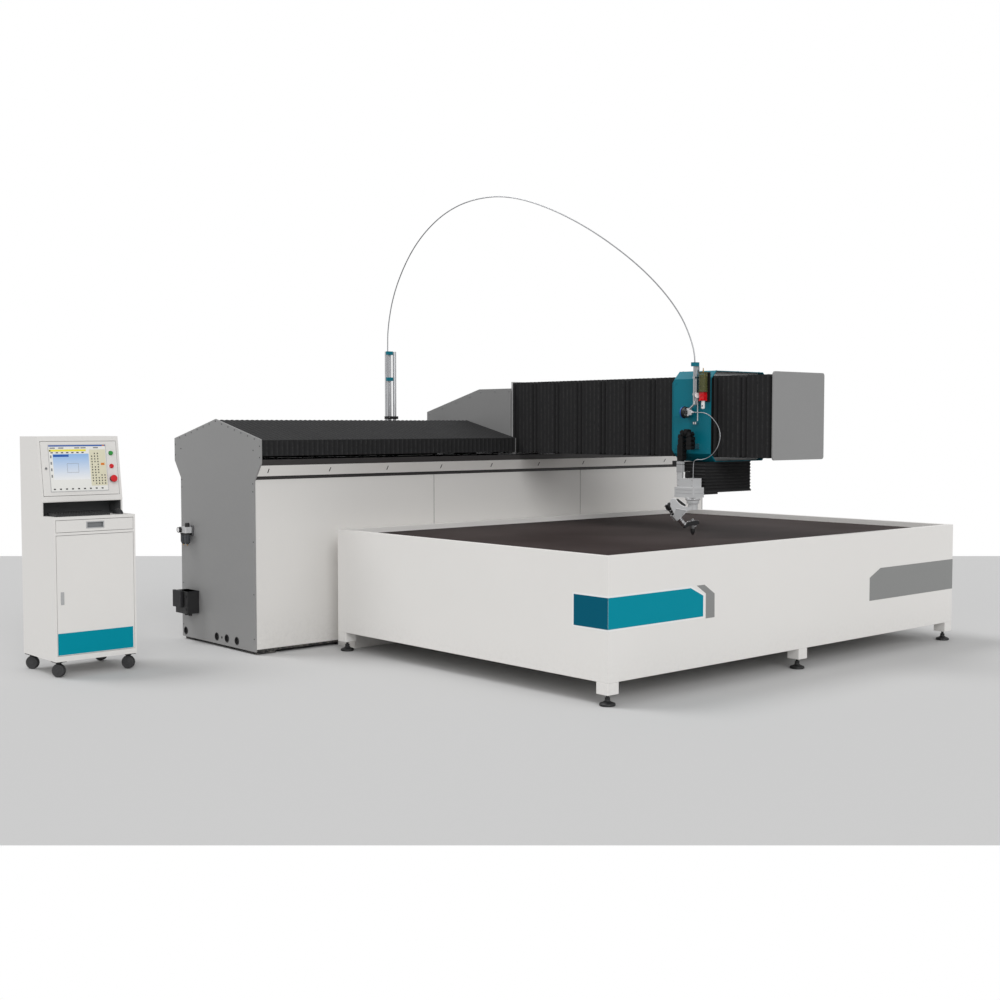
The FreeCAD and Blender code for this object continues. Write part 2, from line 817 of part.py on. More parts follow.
def abrasive_hopper():
    """Clear cylinder with caps above a dosing valve, on a plate fixed to the ring."""
    jar = turned([(0, 0), (hopper_radius + 2, 0), (hopper_radius + 2, 10), (hopper_radius - 1, 12),
                  (hopper_radius - 1, hopper_high - hopper_low - 10),
                  (hopper_radius + 2, hopper_high - hopper_low - 8),
                  (hopper_radius + 2, hopper_high - hopper_low), (0, hopper_high - hopper_low)])
    jar = jar.translated(vec(hopper_x, hopper_y, hopper_low))
    valve_low = hopper_low - valve_height
    w = valve_half
    valve = block(hopper_x - w, hopper_x + w, hopper_y - w, hopper_y + w, valve_low, hopper_low)
    outlet = turned([(0, 0), (9, 0), (14, 6), (14, outlet_height), (0, outlet_height)])
    outlet = outlet.translated(vec(hopper_x, hopper_y, valve_low - outlet_height))
    plate_x = hopper_x + hopper_radius + 3
    plate = block(plate_x, ring_left, ring_front + 4, hopper_y + w, valve_low - 8, hopper_high)
    neck = block(hopper_x + w, plate_x, hopper_y - 15, hopper_y + 15, valve_low + 6, hopper_low - 4)
    return Part.makeCompound([jar, valve, outlet, plate, neck])


def swivel_fitting():
    """Rotary pressure joint: a disc on the ring's face and a block with two ports."""
    x, y, z, s = swivel_x, swivel_y, swivel_z, swivel_block
    disc = rod(vec(x, y, z), vec(0, -1, 0), swivel_radius, 10)
    hub = rod(vec(x, y - 10, z), vec(0, -1, 0), swivel_hub, 26)
    body = block(x - 17, x + 17, swivel_front + 24, y - 36, z - s, z + s)
    port = block(x - 14, x + 14, swivel_front, swivel_front + 24, z - s + 7, z + s - 7)
    bracket = block(x - 10, ring_left, y, y + 8, z - s, z + s)
    knee = vec(drop_x, drop_y, z + elbow_rise)
    foot = vec(drop_x, swivel_front + 34, z + 18)
    elbow = rod(knee, foot - knee, 8, (foot - knee).Length)
    nut = turned([(0, 0), (9, 0), (9, elbow_nut - 4), (7, elbow_nut), (0, elbow_nut)]).translated(knee)
    return joined(disc, hub, body, port, bracket, elbow, Part.makeSphere(9, knee), nut)


def drop_tube():
    low = swivel_z + elbow_rise + elbow_nut
    high = clamp_top - clamp_height
    return rod(vec(drop_x, drop_y, low), vec(0, 0, 1), tube_radius, high - low)


def cable_chain():
    """Hanging loop of flat links: an inverted U with open windows between the links."""
    x0, x1 = chain_left, chain_left + chain_width
    centre_y = chain_front + chain_bend
    centre_z = chain_top - chain_bend
    inner = chain_bend - chain_link
    front_low = chain_top - chain_front_leg
    rear_low = chain_top - chain_rear_leg
    outer = joined(rod(vec(x0, centre_y, centre_z), vec(1, 0, 0), chain_bend, chain_width),
                   block(x0, x1, chain_front, centre_y, front_low, centre_z),
                   block(x0, x1, centre_y, chain_front + 2 * chain_bend, rear_low, centre_z))
    hole = joined(rod(vec(x0 - 1, centre_y, centre_z), vec(1, 0, 0), inner, chain_width + 2),
                  block(x0 - 1, x1 + 1, centre_y - inner, centre_y + inner, rear_low - 1, centre_z))
    chain = outer.cut(hole)
    leg = chain_link / 2
    for y in (chain_front + leg, chain_front + 2 * chain_bend - leg):
        low = front_low if y < centre_y else rear_low
        z = low + 12
        while z + 12 < centre_z:
            chain = chain.cut(block(x0 + 10, x1 - 10, y - chain_link, y + chain_link, z, z + 12))
            z += chain_pitch
    hanger = block(x1, ring_left, chain_front + 2, chain_front + chain_link - 2, front_low + 10, front_low + 50)
    return chain, hanger


nodes["carriage_ring"] = carriage_ring()
chain, chain_hanger = cable_chain()
nodes["carriage_bearings"] = Part.makeCompound([carriage_bearings(), chain_hanger])
nodes["tube_profile"] = tube_profile()
nodes["abrasive_hopper"] = abrasive_hopper()
nodes["swivel_fitting"] = swivel_fitting()
nodes["pressure_tube_drop"] = drop_tube()
nodes["cable_chain"] = chain

head_top = tip_z + block_high
# The thin loop to the head: share of the way across, distance before the tip, height over the ring's foot
loop_start = tip_y - swivel_front
loop_route = [(1, loop_start, 373), (1, -12, 373), (0.97, 42, 369), (0.93, 84, 356), (0.87, 128, 329),
              (0.8, 167, 295), (0.73, 196, 258), (0.66, 214, 218), (0.58, 218, 171), (0.5, 206, 124),
              (0.44, 187, 90), (0.37, 161, 59), (0.29, 123, 34), (0.19, 77, 19), (0.1, 39, 20), (0.04, 14, 14),
              (0, 2, -6), (0, 0, -40), (0, 0, head_top - ring_low)]
nodes["pressure_tube_loop"] = routed([vec(tip_x + a * (drop_x - tip_x), tip_y - b, ring_low + c)
                                      for a, b, c in loop_route], loop_radius)


def lift_bellows():
    def box_outline(inset):
        x0, x1 = lift_left + 3 + inset, lift_right - 3 - inset
        y0, y1 = lift_front + inset, lift_rear - 2 - inset
        return [(x0, y0), (x1, y0), (x1, y1), (x0, y1)]
    hollow = box_outline(lift_fold_depth + lift_fold_wall)
    pitch = (ring_low - lift_plate_high) / lift_folds
    return folded(lambda i: box_outline(lift_fold_depth if i % 2 else 0), lambda p, x, y: (x, y, p),
                  lift_plate_high + fit, ring_low - fit, pitch, hollow)


def lift_slide():
    """Bottom plate of the lifting unit, its ram, and the bar that steadies the head."""
    ram_rear = ram_front + ram_width
    plate = block(lift_left, lift_right, lift_front - 3, lift_rear, lift_plate_low, lift_plate_high)
    shelf = block(ram_left, ram_left + ram_thick, lift_rear, ram_rear, lift_plate_low, lift_plate_high)
    ram = block(ram_left, ram_left + ram_thick, ram_front, ram_rear, lift_plate_high, ram_high)
    bar = block(lift_left, lift_left + 165, lift_front + 10, lift_front + 42, lift_plate_low - 14, lift_plate_low)
    chain_low = chain_top - chain_rear_leg
    chain_rear = chain_front + 2 * chain_bend
    holder = block(chain_left, lift_left - 3, chain_rear - chain_link + 4, ram_front, chain_low - 40, chain_low)
    arm = block(chain_left, ram_left, lift_rear + 6, ram_rear - 4, chain_low - 40, chain_low)
    return joined(plate, shelf, ram, bar, arm, holder)


nodes["lift_bellows"] = lift_bellows()
nodes["lift_slide"] = lift_slide()


def head_block():
    """Housing of the turning axis: stepped blocks, its motor, and the round seat below."""
    x0, x1 = tip_x - block_left, tip_x + block_right
    y0, y1 = tip_y - block_front, tip_y + block_rear
    over = flange_over
    lower = block(x0 - over, lift_left, y0 - over - 4, y1 + over + 15, tip_z + flange_low, tip_z + flange_high)
    lower = round_edges(lower, 6, upright)
    upper = block(x0, x1, y0, y1, tip_z + flange_high, head_top)
    seat = turned([(0, flange_low), (seat_radius, flange_low), (seat_radius, flange_low - 16),
                   (neck_radius, flange_low - 22), (neck_radius, neck_low), (0, neck_low)])
    seat = seat.translated(vec(tip_x, tip_y, tip_z))
    column = block(x0, x0 + 26, y1 - 44, y1, head_top, head_top + column_height)
    cover = block(tip_x - 13, tip_x + 32, tip_y + 51, tip_y + 81, head_top, head_top + cover_height)
    return joined(lower, upper, seat, column, round_edges(cover, 5, upright))


def posed(shape):
    """Place a piece of the turning head: local X is the arm's outward direction."""
    shape = shape.copy()
    shape.rotate(vec(0, 0, 0), vec(0, 0, 1), arm_turn)
    shape.translate(vec(tip_x, tip_y, tip_z))
    return shape


tilt = math.radians(arm_tilt)
tilt_axis = vec(math.cos(tilt), 0, math.sin(tilt))


def on_tilt_axis(radius, start, end):
    return rod(tilt_axis * start, tilt_axis, radius, end - start)


def on_tilt_line(distance, above):
    return tilt_axis * distance + vec(-math.sin(tilt), 0, math.cos(tilt)) * above


def arm_profile():
    """Crescent that sweeps from the rotor out and up, with the gearbox housing hanging from it."""
    w = gearbox_half
    p = [vec(20, 0, rotor_low), vec(50, 0, rotor_low - 3), vec(69, 0, rotor_low - 22),
         on_tilt_line(gearbox_start, w), on_tilt_line(gearbox_start, -w), on_tilt_line(gearbox_end, -w),
         on_tilt_line(gearbox_end, -12), on_tilt_line(motor_end - 30, 2), vec(188, 0, 224), vec(181, 0, 243),
         vec(155, 0, arm_high), vec(148, 0, arm_high), vec(108, 0, 231), vec(56, 0, 212), vec(20, 0, 212)]
    edges = [Part.makeLine(a, b) for a, b in zip(p[:11], p[1:12])]
    edges += [Part.Arc(p[11], p[12], p[13]).toShape(), Part.makeLine(p[13], p[14]), Part.makeLine(p[14], p[0])]
    plate = Part.Face(Part.Wire(edges)).extrude(vec(0, 2 * arm_half, 0))
    return plate.translated(vec(0, -arm_half, 0))


def rotor_arm():
    rotor = turned([(0, rotor_low), (rotor_radius, rotor_low), (rotor_radius, neck_low - fit), (0, neck_low - fit)])
    pocket = on_tilt_axis(motor_radius + fit, gearbox_end, motor_end + 40)
    return posed(joined(rotor, arm_profile().cut(pocket)))


def tilt_motor():
    body = on_tilt_axis(motor_radius, gearbox_end, motor_end)
    plug = rod(tilt_axis * (motor_end - 26), vec(math.sin(tilt), 0, -math.cos(tilt)), 10, motor_radius + 8)
    return posed(joined(body, plug))


def tilt_bracket():
    rim = on_tilt_axis(output_rim, gearbox_start - 8, gearbox_start - fit)
    output = on_tilt_axis(output_radius, output_start, gearbox_start - 8)
    outline = [(78, 76), (68, 56), (32, 72), (-30, 80), (-44, 84), (-44, 102), (-30, 110), (10, 106), (50, 88)]
    plate = face([vec(u, -bracket_half, z) for u, z in outline]).extrude(vec(0, 2 * bracket_half, 0))
    bore = rod(vec(0, 0, 0), vec(0, 0, 1), nozzle_radius + fit / 3, 200)
    return posed(joined(rim, output, plate).cut(bore))


def cutting_head():
    r, s = nozzle_radius, shield_radius
    body = turned([(0, 0), (3, 0), (4, 4), (9, 6), (12, 16), (s, 24), (s, 46), (r, 52), (r, 116), (9, 118),
                   (9, 124), (6, 126), (0, 126)])
    inlet = rod(vec(0, 0, 60), vec(-1, 0, 0.35), 5, 30)
    return posed(joined(body, inlet))


nodes["head_block"] = head_block()
nodes["rotor_arm"] = rotor_arm()
nodes["tilt_motor"] = tilt_motor()
nodes["tilt_bracket"] = tilt_bracket()
nodes["cutting_head"] = cutting_head()

# Console

console_right = console_left + console_width
slope_height = console_high - console_brow
slope_length = math.hypot(lean, slope_height)
slope_angle = math.degrees(math.atan2(lean, slope_height))
recess_low = console_shelf
recess_high = console_brow - 8


def on_slope(shape):
    """Place a piece drawn flat at the foot of the leaning face, local Z up the slope."""
    shape = shape.copy()
    shape.rotate(vec(0, 0, 0), vec(1, 0, 0), -slope_angle)
    shape.translate(vec(0, recess_front - 3, console_brow))
    return shape


def door_pin(radius, reach):
    x = console_right - door_side - door_gap - hinge_inset
    low, high = door_low + door_gap - reach, door_high - door_gap + reach
    return rod(vec(x, console_front + hinge_inset, low), vec(0, 0, 1), radius, high - low)


def screen_pin(radius, reach):
    x = console_right - screen_margin - door_gap - hinge_inset
    low, high = screen_low + door_gap - reach, screen_high - door_gap + reach
    return rod(vec(x, hinge_inset, low), vec(0, 0, 1), radius, high - low)


def console_cabinet():
    """Sheet cabinet with a shelf recess, a drawer bay and a hollow behind the door."""
    outline = [(console_front, console_low), (console_front, console_shelf), (recess_front, console_shelf),
               (recess_front, console_brow - 6), (recess_front - 3, console_brow),
               (recess_front - 3 + lean, console_high), (console_rear, console_high), (console_rear, console_low)]
    body = along_x(outline, console_left, console_right)
    x0, x1 = console_left + recess_side, console_right - recess_side
    body = body.cut(block(x0, x1, recess_front - 1, recess_front + recess_depth, recess_low, recess_high))
    body = body.cut(block(console_left + drawer_side, console_right - drawer_side, console_front - 1,
                          console_front + drawer_depth + 20, drawer_low, drawer_high))
    body = body.cut(block(console_left + door_side, console_right - door_side, console_front - 1,
                          console_front + door_depth, door_low, door_high))
    opening = block(console_left + screen_margin, console_right - screen_margin, -1, 120, screen_low, screen_high)
    body = body.cut(on_slope(opening)).cut(door_pin(hinge_radius + fit, hinge_depth + fit))
    return body.cut(on_slope(screen_pin(hinge_radius + fit, hinge_depth + fit)))


def console_door():
    x0, x1 = console_left + door_side + door_gap, console_right - door_side - door_gap
    door = block(x0, x1, console_front, console_front + door_thick, door_low + door_gap, door_high - door_gap)
    door = joined(door, door_pin(hinge_radius, hinge_depth))
    z0 = door_high - 479
    handle = block(x0 + 26, x0 + 48, console_front - 5, console_front, z0, z0 + 88)
    handle = round_edges(handle, 4, lambda e: not upright(e) and abs(e.CenterOfMass.y - console_front + 5) < 0.1)
    return Part.makeCompound([door, handle])


def console_drawer():
    """Shallow tray behind a flat front with a recessed pull."""
    x0, x1 = console_left + drawer_side + door_gap, console_right - drawer_side - door_gap
    z0, z1 = drawer_low + door_gap, drawer_high - door_gap
    tray = block(x0 + 6, x1 - 6, console_front + 16, console_front + drawer_depth, z0 + 4, z1 - 12)
    tray = tray.cut(block(x0 + 9, x1 - 9, console_front + 19, console_front + drawer_depth - 3, z0 + 7, z1))
    front = block(x0, x1, console_front, console_front + 16, z0, z1)
    middle = (x0 + x1) / 2
    front = front.cut(block(middle - 58, middle + 58, console_front - 1, console_front + 12, z0 + 26, z1 - 20))
    runners = [block(a, b, console_front + 20, console_front + drawer_depth, z0 + 30, z0 + 44)
               for a, b in ((x0 - door_gap + fit, x0 + 6), (x1 - 6, x1 + door_gap - fit))]
    body = joined(front, tray, *runners)
    frame = block(middle - 66, middle + 66, console_front - 3, console_front, z0 + 20, z1 - 14)
    frame = frame.cut(block(middle - 58, middle + 58, console_front - 4, console_front + 1, z0 + 26, z1 - 20))
    return Part.makeCompound([body, frame])


def screen_panel():
    x0, x1 = console_left + screen_margin + door_gap, console_right - screen_margin - door_gap
    panel = block(x0, x1, 0, 14, screen_low + door_gap, screen_high - door_gap)
    panel = joined(panel, screen_pin(hinge_radius, hinge_depth))
    bezel = block(x0 + 62, x1 - 92, -2, 0, 78, 372)
    lock = rod(vec(x0 + 26, 0, 230), vec(0, -1, 0), 10, 5)
    return Part.makeCompound([on_slope(s) for s in (panel, bezel, lock)])


def push_buttons():
    x = console_right - screen_margin - 50
    pieces = []
    for z, radius, height in ((332, 13, 16), (238, 13, 12)):
        pieces.append(rod(vec(x, 0, z), vec(0, -1, 0), radius + 4, 5))
        pieces.append(rod(vec(x, -5, z), vec(0, -1, 0), radius, height))
    stop = turned([(0, 0), (20, 0), (20, 5), (12, 6), (12, 20), (24, 24), (26, 32), (22, 40), (0, 43)])
    stop.rotate(vec(0, 0, 0), vec(1, 0, 0), 90)
    pieces.append(stop.translated(vec(x, 0, 146)))
    return Part.makeCompound([on_slope(p) for p in pieces])


def keyboard_and_mouse():
    x0 = console_left + 40
    y0 = console_front + keyboard_inset
    y1 = y0 + keyboard_depth
    wedge = along_x([(y0, console_shelf), (y1, console_shelf), (y1, console_shelf + 26),
                     (y0, console_shelf + 12)], x0, x0 + keyboard_length)
    mouse = Part.makeSphere(1.0)
    matrix = FreeCAD.Matrix(32, 0, 0, 0, 0, 56, 0, 0, 0, 0, 38, 0, 0, 0, 0, 1)
    mouse = mouse.transformGeometry(matrix).translated(vec(console_right - 70, y0 + 72, console_shelf))
    space = block(console_right - 120, console_right - 10, y0, y1, console_shelf, console_shelf + 50)
    return Part.makeCompound([wedge, mouse.common(space)])


def casters():
    pieces = []
    for x in (console_left + caster_inset, console_right - caster_inset):
        for y in (console_front + caster_inset + 10, console_rear - caster_inset - 10):
            top = block(x - 36, x + 36, y - 36, y + 36, console_low - 4, console_low)
            fork = block(x - 24, x + 24, y - 22, y + 22, caster_radius, console_low - 4)
            slot = block(x - 18, x + 18, y - 30, y + 30, caster_radius - 1, console_low - 10)
            wheel = rod(vec(x - caster_width / 2, y, caster_radius), vec(1, 0, 0), caster_radius, caster_width)
            pin = rod(vec(x - 24, y, caster_radius + 6), vec(1, 0, 0), 5, 48)
            pieces.append(joined(top, fork.cut(slot), wheel, pin))
    return Part.makeCompound(pieces)


nodes["console_cabinet"] = console_cabinet()
nodes["console_door"] = console_door()
nodes["console_drawer"] = console_drawer()
nodes["screen_panel"] = screen_panel()
nodes["push_buttons"] = push_buttons()
nodes["keyboard_and_mouse"] = keyboard_and_mouse()
nodes["casters"] = casters()


def finish():
    """Move the layout so that the middle of its outline on the floor is the origin."""
    whole = Part.makeCompound(list(nodes.values())).BoundBox
    shift = vec(-(whole.XMin + whole.XMax) / 2, -(whole.YMin + whole.YMax) / 2, 0)
    os.makedirs("parts", exist_ok=True)
    for name, shape in nodes.items():
        shape.translate(shift)
        shape.exportStep("parts/" + name + ".step")
        if not shape.isValid():
            print("not valid:", name)
    print(len(nodes), "nodes, shift", [round(v, 3) for v in shift], "box", whole)


finish()
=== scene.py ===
import bmesh
import bpy
import json
import math
from mathutils import Matrix, Vector


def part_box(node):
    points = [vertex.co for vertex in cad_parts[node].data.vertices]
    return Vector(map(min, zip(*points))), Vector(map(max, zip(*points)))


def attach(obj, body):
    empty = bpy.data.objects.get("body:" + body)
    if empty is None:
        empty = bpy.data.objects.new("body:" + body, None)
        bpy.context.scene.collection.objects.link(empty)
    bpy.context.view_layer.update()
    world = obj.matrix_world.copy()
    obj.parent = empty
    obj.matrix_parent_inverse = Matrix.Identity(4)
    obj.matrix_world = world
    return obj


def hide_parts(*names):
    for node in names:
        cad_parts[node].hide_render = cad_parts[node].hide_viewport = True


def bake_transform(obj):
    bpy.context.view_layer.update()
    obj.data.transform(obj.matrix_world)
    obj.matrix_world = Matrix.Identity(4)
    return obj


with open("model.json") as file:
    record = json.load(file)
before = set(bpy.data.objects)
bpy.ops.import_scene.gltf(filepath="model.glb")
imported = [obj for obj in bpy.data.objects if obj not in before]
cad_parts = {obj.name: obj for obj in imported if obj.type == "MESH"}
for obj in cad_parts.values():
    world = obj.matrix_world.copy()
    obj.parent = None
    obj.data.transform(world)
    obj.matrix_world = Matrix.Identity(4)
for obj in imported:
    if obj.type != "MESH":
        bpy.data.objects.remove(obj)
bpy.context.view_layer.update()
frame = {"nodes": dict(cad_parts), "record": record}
cadNodes = frame["nodes"]
# which body carries each node
bodyOf = {nodeName: body for body, members in frame["record"]["behaviour"]["bodies"].items()
          for nodeName in members}
# every place below is measured from the near front corner of the tank
tankCorner = Vector((-1.2385, -2.2045, 0.0))
print("frame loaded:", len(cadNodes), "nodes")


# mesh helpers

def smoothMesh(mesh, angle=35.0):
    mesh.polygons.foreach_set("use_smooth", [True] * len(mesh.polygons))
    mesh.set_sharp_from_angle(angle=math.radians(angle))
    mesh.update()


def newPiece(name, bm, materials, place=None, angle=35.0, outward=True):
    if outward:
        bmesh.ops.recalc_face_normals(bm, faces=bm.faces[:])
    mesh = bpy.data.meshes.new(name)
    bm.to_mesh(mesh)
    bm.free()
    if place is not None:
        mesh.transform(place)
    mesh.transform(Matrix.Translation(tankCorner))
    for material in materials:
        mesh.materials.append(material)
    smoothMesh(mesh, angle)
    piece = bpy.data.objects.new(name, mesh)
    bpy.context.scene.collection.objects.link(piece)
    return piece


def applyModifiers(piece, angle=35.0):
    bpy.context.view_layer.update()
    graph = bpy.context.evaluated_depsgraph_get()
    mesh = bpy.data.meshes.new_from_object(piece.evaluated_get(graph), preserve_all_data_layers=True,
                                           depsgraph=graph)
    piece.modifiers.clear()
    old = piece.data
    piece.data = mesh
    bpy.data.meshes.remove(old)
    if angle:
        smoothMesh(mesh, angle)
    return piece


def softenEdges(piece, width, segments=2, limit=35.0, edge=-1):
    bevel = piece.modifiers.new("edges", "BEVEL")
    bevel.material = edge
    bevel.width = width
    bevel.segments = segments
    bevel.limit_method = "ANGLE"
    bevel.angle_limit = math.radians(limit)
    bevel.use_clamp_overlap = True
    weigh = piece.modifiers.new("weigh", "WEIGHTED_NORMAL")  # keeps wide faces flat
    weigh.weight = 100
    weigh.keep_sharp = True
    return applyModifiers(piece, None)


def addFaces(bm, verts, faces, slot=0):
    made = [bm.verts.new(Vector(v)) for v in verts]
    for corners in faces:
        bm.faces.new([made[i] for i in corners]).material_index = slot
    return made


def addBox(bm, low, high, slot=0):
    (x0, y0, z0), (x1, y1, z1) = low, high
    verts = [(x0, y0, z0), (x1, y0, z0), (x1, y1, z0), (x0, y1, z0),
             (x0, y0, z1), (x1, y0, z1), (x1, y1, z1), (x0, y1, z1)]
    addFaces(bm, verts, [(3, 2, 1, 0), (4, 5, 6, 7), (0, 1, 5, 4), (1, 2, 6, 5), (2, 3, 7, 6), (3, 0, 4, 7)],
             slot)


# profile is a list of (radius, height) turned about the axis
def addTurned(bm, profile, place, axis=(0, 0, 1), slot=0, segments=32):
    turn = Vector(axis).to_track_quat("Z", "Y").to_matrix()
    rings = []
    for radius, height in profile:
        if radius < 1e-6:
            rings.append([bm.verts.new(Vector(place) + turn @ Vector((0, 0, height)))])
            continue
        ring = []
        for i in range(segments):
            a = 2 * math.pi * i / segments
            ring.append(bm.verts.new(Vector(place)
                                     + turn @ Vector((radius * math.cos(a), radius * math.sin(a), height))))
        rings.append(ring)
    for low, high in zip(rings, rings[1:]):
        for i in range(segments):
            j = (i + 1) % segments
            corners = [low[i % len(low)], low[j % len(low)], high[j % len(high)], high[i % len(high)]]
            corners = list(dict.fromkeys(corners))
            if len(corners) > 2:
                bm.faces.new(corners).material_index = slot


def addRod(bm, start, axis, radius, length, slot=0, segments=24, edge=0.0):
    e = edge if edge else min(radius, length) * 0.12
    profile = [(0, 0), (radius - e, 0), (radius, e), (radius, length - e), (radius - e, length), (0, length)]
    addTurned(bm, profile, start, axis, slot, segments)


# outline in the plane of across and upward, pushed out along their normal
def addPrism(bm, outline, start, across, upward, depth, slot=0):
    u, v = Vector(across).normalized(), Vector(upward).normalized()
    out = u.cross(v) * depth
    base = [Vector(start) + u * a + v * b for a, b in outline]
    n = len(base)
    faces = [tuple(reversed(range(n))), tuple(range(n, 2 * n))]
    faces += [(i, (i + 1) % n, n + (i + 1) % n, n + i) for i in range(n)]
    addFaces(bm, base + [p + out for p in base], faces, slot)


# finished copy of a CAD node with soft edges; rule picks the finish of each face, and litEdges gives the bevel
# faces the last finish, a painted highlight
def softCopy(nodeName, finishes, width=0.001, segments=2, rule=None, litEdges=False):
    source = cadNodes[nodeName]
    bm = bmesh.new()
    bm.from_mesh(source.data)
    bmesh.ops.remove_doubles(bm, verts=bm.verts[:], dist=2e-5)
    if width:
        bmesh.ops.dissolve_limit(bm, angle_limit=math.radians(1.0), verts=bm.verts[:], edges=bm.edges[:])
    bm.normal_update()
    for face in bm.faces:
        face.material_index = rule(face.calc_center_median() - tankCorner, face.normal) if rule else 0
    mesh = bpy.data.meshes.new(nodeName + "Finished")
    bm.to_mesh(mesh)
    bm.free()
    for material in finishes if isinstance(finishes, list) else [finishes]:
        mesh.materials.append(material)
    piece = bpy.data.objects.new(nodeName + "Finished", mesh)
    bpy.context.scene.collection.objects.link(piece)
    smoothMesh(mesh, 30.0)
    if width:
        softenEdges(piece, width, segments, edge=len(mesh.materials) - 1 if litEdges else -1)
    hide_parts(nodeName)
    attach(piece, bodyOf[nodeName])
    return piece


def dress(nodeName, material):
    node = cadNodes[nodeName]
    node.data.materials.clear()
    node.data.materials.append(material)


def smoothTube(name, points, radius, material, order=3):
    curve = bpy.data.curves.new(name, "CURVE")
    curve.dimensions = "3D"
    spline = curve.splines.new("NURBS")
    spline.points.add(len(points) - 1)
    for target, point in zip(spline.points, points):
        target.co = (*(Vector(point) + tankCorner), 1.0)
    spline.order_u = order
    spline.use_endpoint_u = True
    curve.resolution_u = 10
    curve.bevel_depth = radius
    curve.bevel_resolution = 3
    curve.use_fill_caps = True
    holder = bpy.data.objects.new(name, curve)
    bpy.context.scene.collection.objects.link(holder)
    bpy.context.view_layer.update()
    graph = bpy.context.evaluated_depsgraph_get()
    mesh = bpy.data.meshes.new_from_object(holder.evaluated_get(graph), depsgraph=graph)
    bpy.data.objects.remove(holder)
    mesh.materials.clear()
    mesh.materials.append(material)
    smoothMesh(mesh, 40.0)
    piece = bpy.data.objects.new(name, mesh)
    bpy.context.scene.collection.objects.link(piece)
    return piece


# shader groups that several finishes share

def newGroup(name, inputs, outputs):
    tree = bpy.data.node_groups.new(name, "ShaderNodeTree")
    for label, kind, value in inputs:
        socket = tree.interface.new_socket(name=label, in_out="INPUT", socket_type=kind)
        socket.default_value = value
    for label, kind in outputs:
        tree.interface.new_socket(name=label, in_out="OUTPUT", socket_type=kind)
    return tree, tree.nodes.new("NodeGroupInput"), tree.nodes.new("NodeGroupOutput")


def mathNode(tree, operation, a, b=None, clamp=False):
    node = tree.nodes.new("ShaderNodeMath")
    node.operation = operation
    node.use_clamp = clamp
    for socket, value in zip(node.inputs, (a, b)):
        if value is None:
            continue
        if isinstance(value, (int, float)):
            socket.default_value = value
        else:
            tree.links.new(value, socket)
    return node.outputs[0]


def noiseNode(tree, vector, scale, detail=3.0, roughness=0.5):
    node = tree.nodes.new("ShaderNodeTexNoise")
    node.inputs["Scale"].default_value = scale
    node.inputs["Detail"].default_value = detail
    node.inputs["Roughness"].default_value = roughness
    tree.links.new(vector, node.inputs["Vector"])
    return node.outputs["Fac"]


def scaleColour(tree, colour, factor):
    node = tree.nodes.new("ShaderNodeVectorMath")
    node.operation = "SCALE"
    tree.links.new(colour, node.inputs[0])
    tree.links.new(factor, node.inputs["Scale"])
    return node.outputs[0]


def mixColour(tree, factor, a, b):
    node = tree.nodes.new("ShaderNodeMix")
    node.data_type = "RGBA"
    for label, value in (("Factor", factor), ("A", a), ("B", b)):
        socket = [s for s in node.inputs if s.name == label and s.enabled][0]
        if isinstance(value, (int, float, tuple)):
            socket.default_value = value
        else:
            tree.links.new(value, socket)
    return [s for s in node.outputs if s.enabled][0]


def rampNode(tree, value, low, high, start=0.0, end=1.0):
    node = tree.nodes.new("ShaderNodeMapRange")
    tree.links.new(value, node.inputs["Value"])
    for label, number in (("From Min", low), ("From Max", high), ("To Min", start), ("To Max", end)):
        node.inputs[label].default_value = number
    return node.outputs["Result"]


def makePaintSkin():
    tree, start, end = newGroup("paintSkin", [
        ("Colour", "NodeSocketColor", (0.7, 0.7, 0.7, 1)), ("Roughness", "NodeSocketFloat", 0.45),
        ("Mottle", "NodeSocketFloat", 0.03), ("Dust", "NodeSocketFloat", 0.2)],
        [("Colour", "NodeSocketColor"), ("Roughness", "NodeSocketFloat"), ("Height", "NodeSocketFloat")])
    place = tree.nodes.new("ShaderNodeTexCoord").outputs["Object"]
    broad = noiseNode(tree, place, 1.6, 4.0)
    peel = noiseNode(tree, place, 420.0, 2.0)
    speck = noiseNode(tree, place, 34.0, 5.0, 0.65)
    swing = mathNode(tree, "MULTIPLY", mathNode(tree, "SUBTRACT", broad, 0.5), start.outputs["Mottle"])
    shade = mathNode(tree, "ADD", mathNode(tree, "MULTIPLY", swing, 2.0), 1.0)
    tinted = scaleColour(tree, start.outputs["Colour"], shade)
    split = tree.nodes.new("ShaderNodeSeparateXYZ")
    tree.links.new(place, split.inputs[0])
    low = rampNode(tree, split.outputs["Z"], 0.02, 0.34, 1.0, 0.0)
    patch = rampNode(tree, speck, 0.42, 0.66)
    film = mathNode(tree, "MULTIPLY", mathNode(tree, "MULTIPLY", low, patch), start.outputs["Dust"], True)
    tree.links.new(mixColour(tree, film, tinted, (0.33, 0.31, 0.28, 1)), end.inputs["Colour"])
    rough = mathNode(tree, "ADD", start.outputs["Roughness"],
                     mathNode(tree, "MULTIPLY", mathNode(tree, "SUBTRACT", speck, 0.5), 0.16))
    tree.links.new(mathNode(tree, "ADD", rough, mathNode(tree, "MULTIPLY", film, 0.3), True),
                   end.inputs["Roughness"])
    tree.links.new(peel, end.inputs["Height"])
    return tree


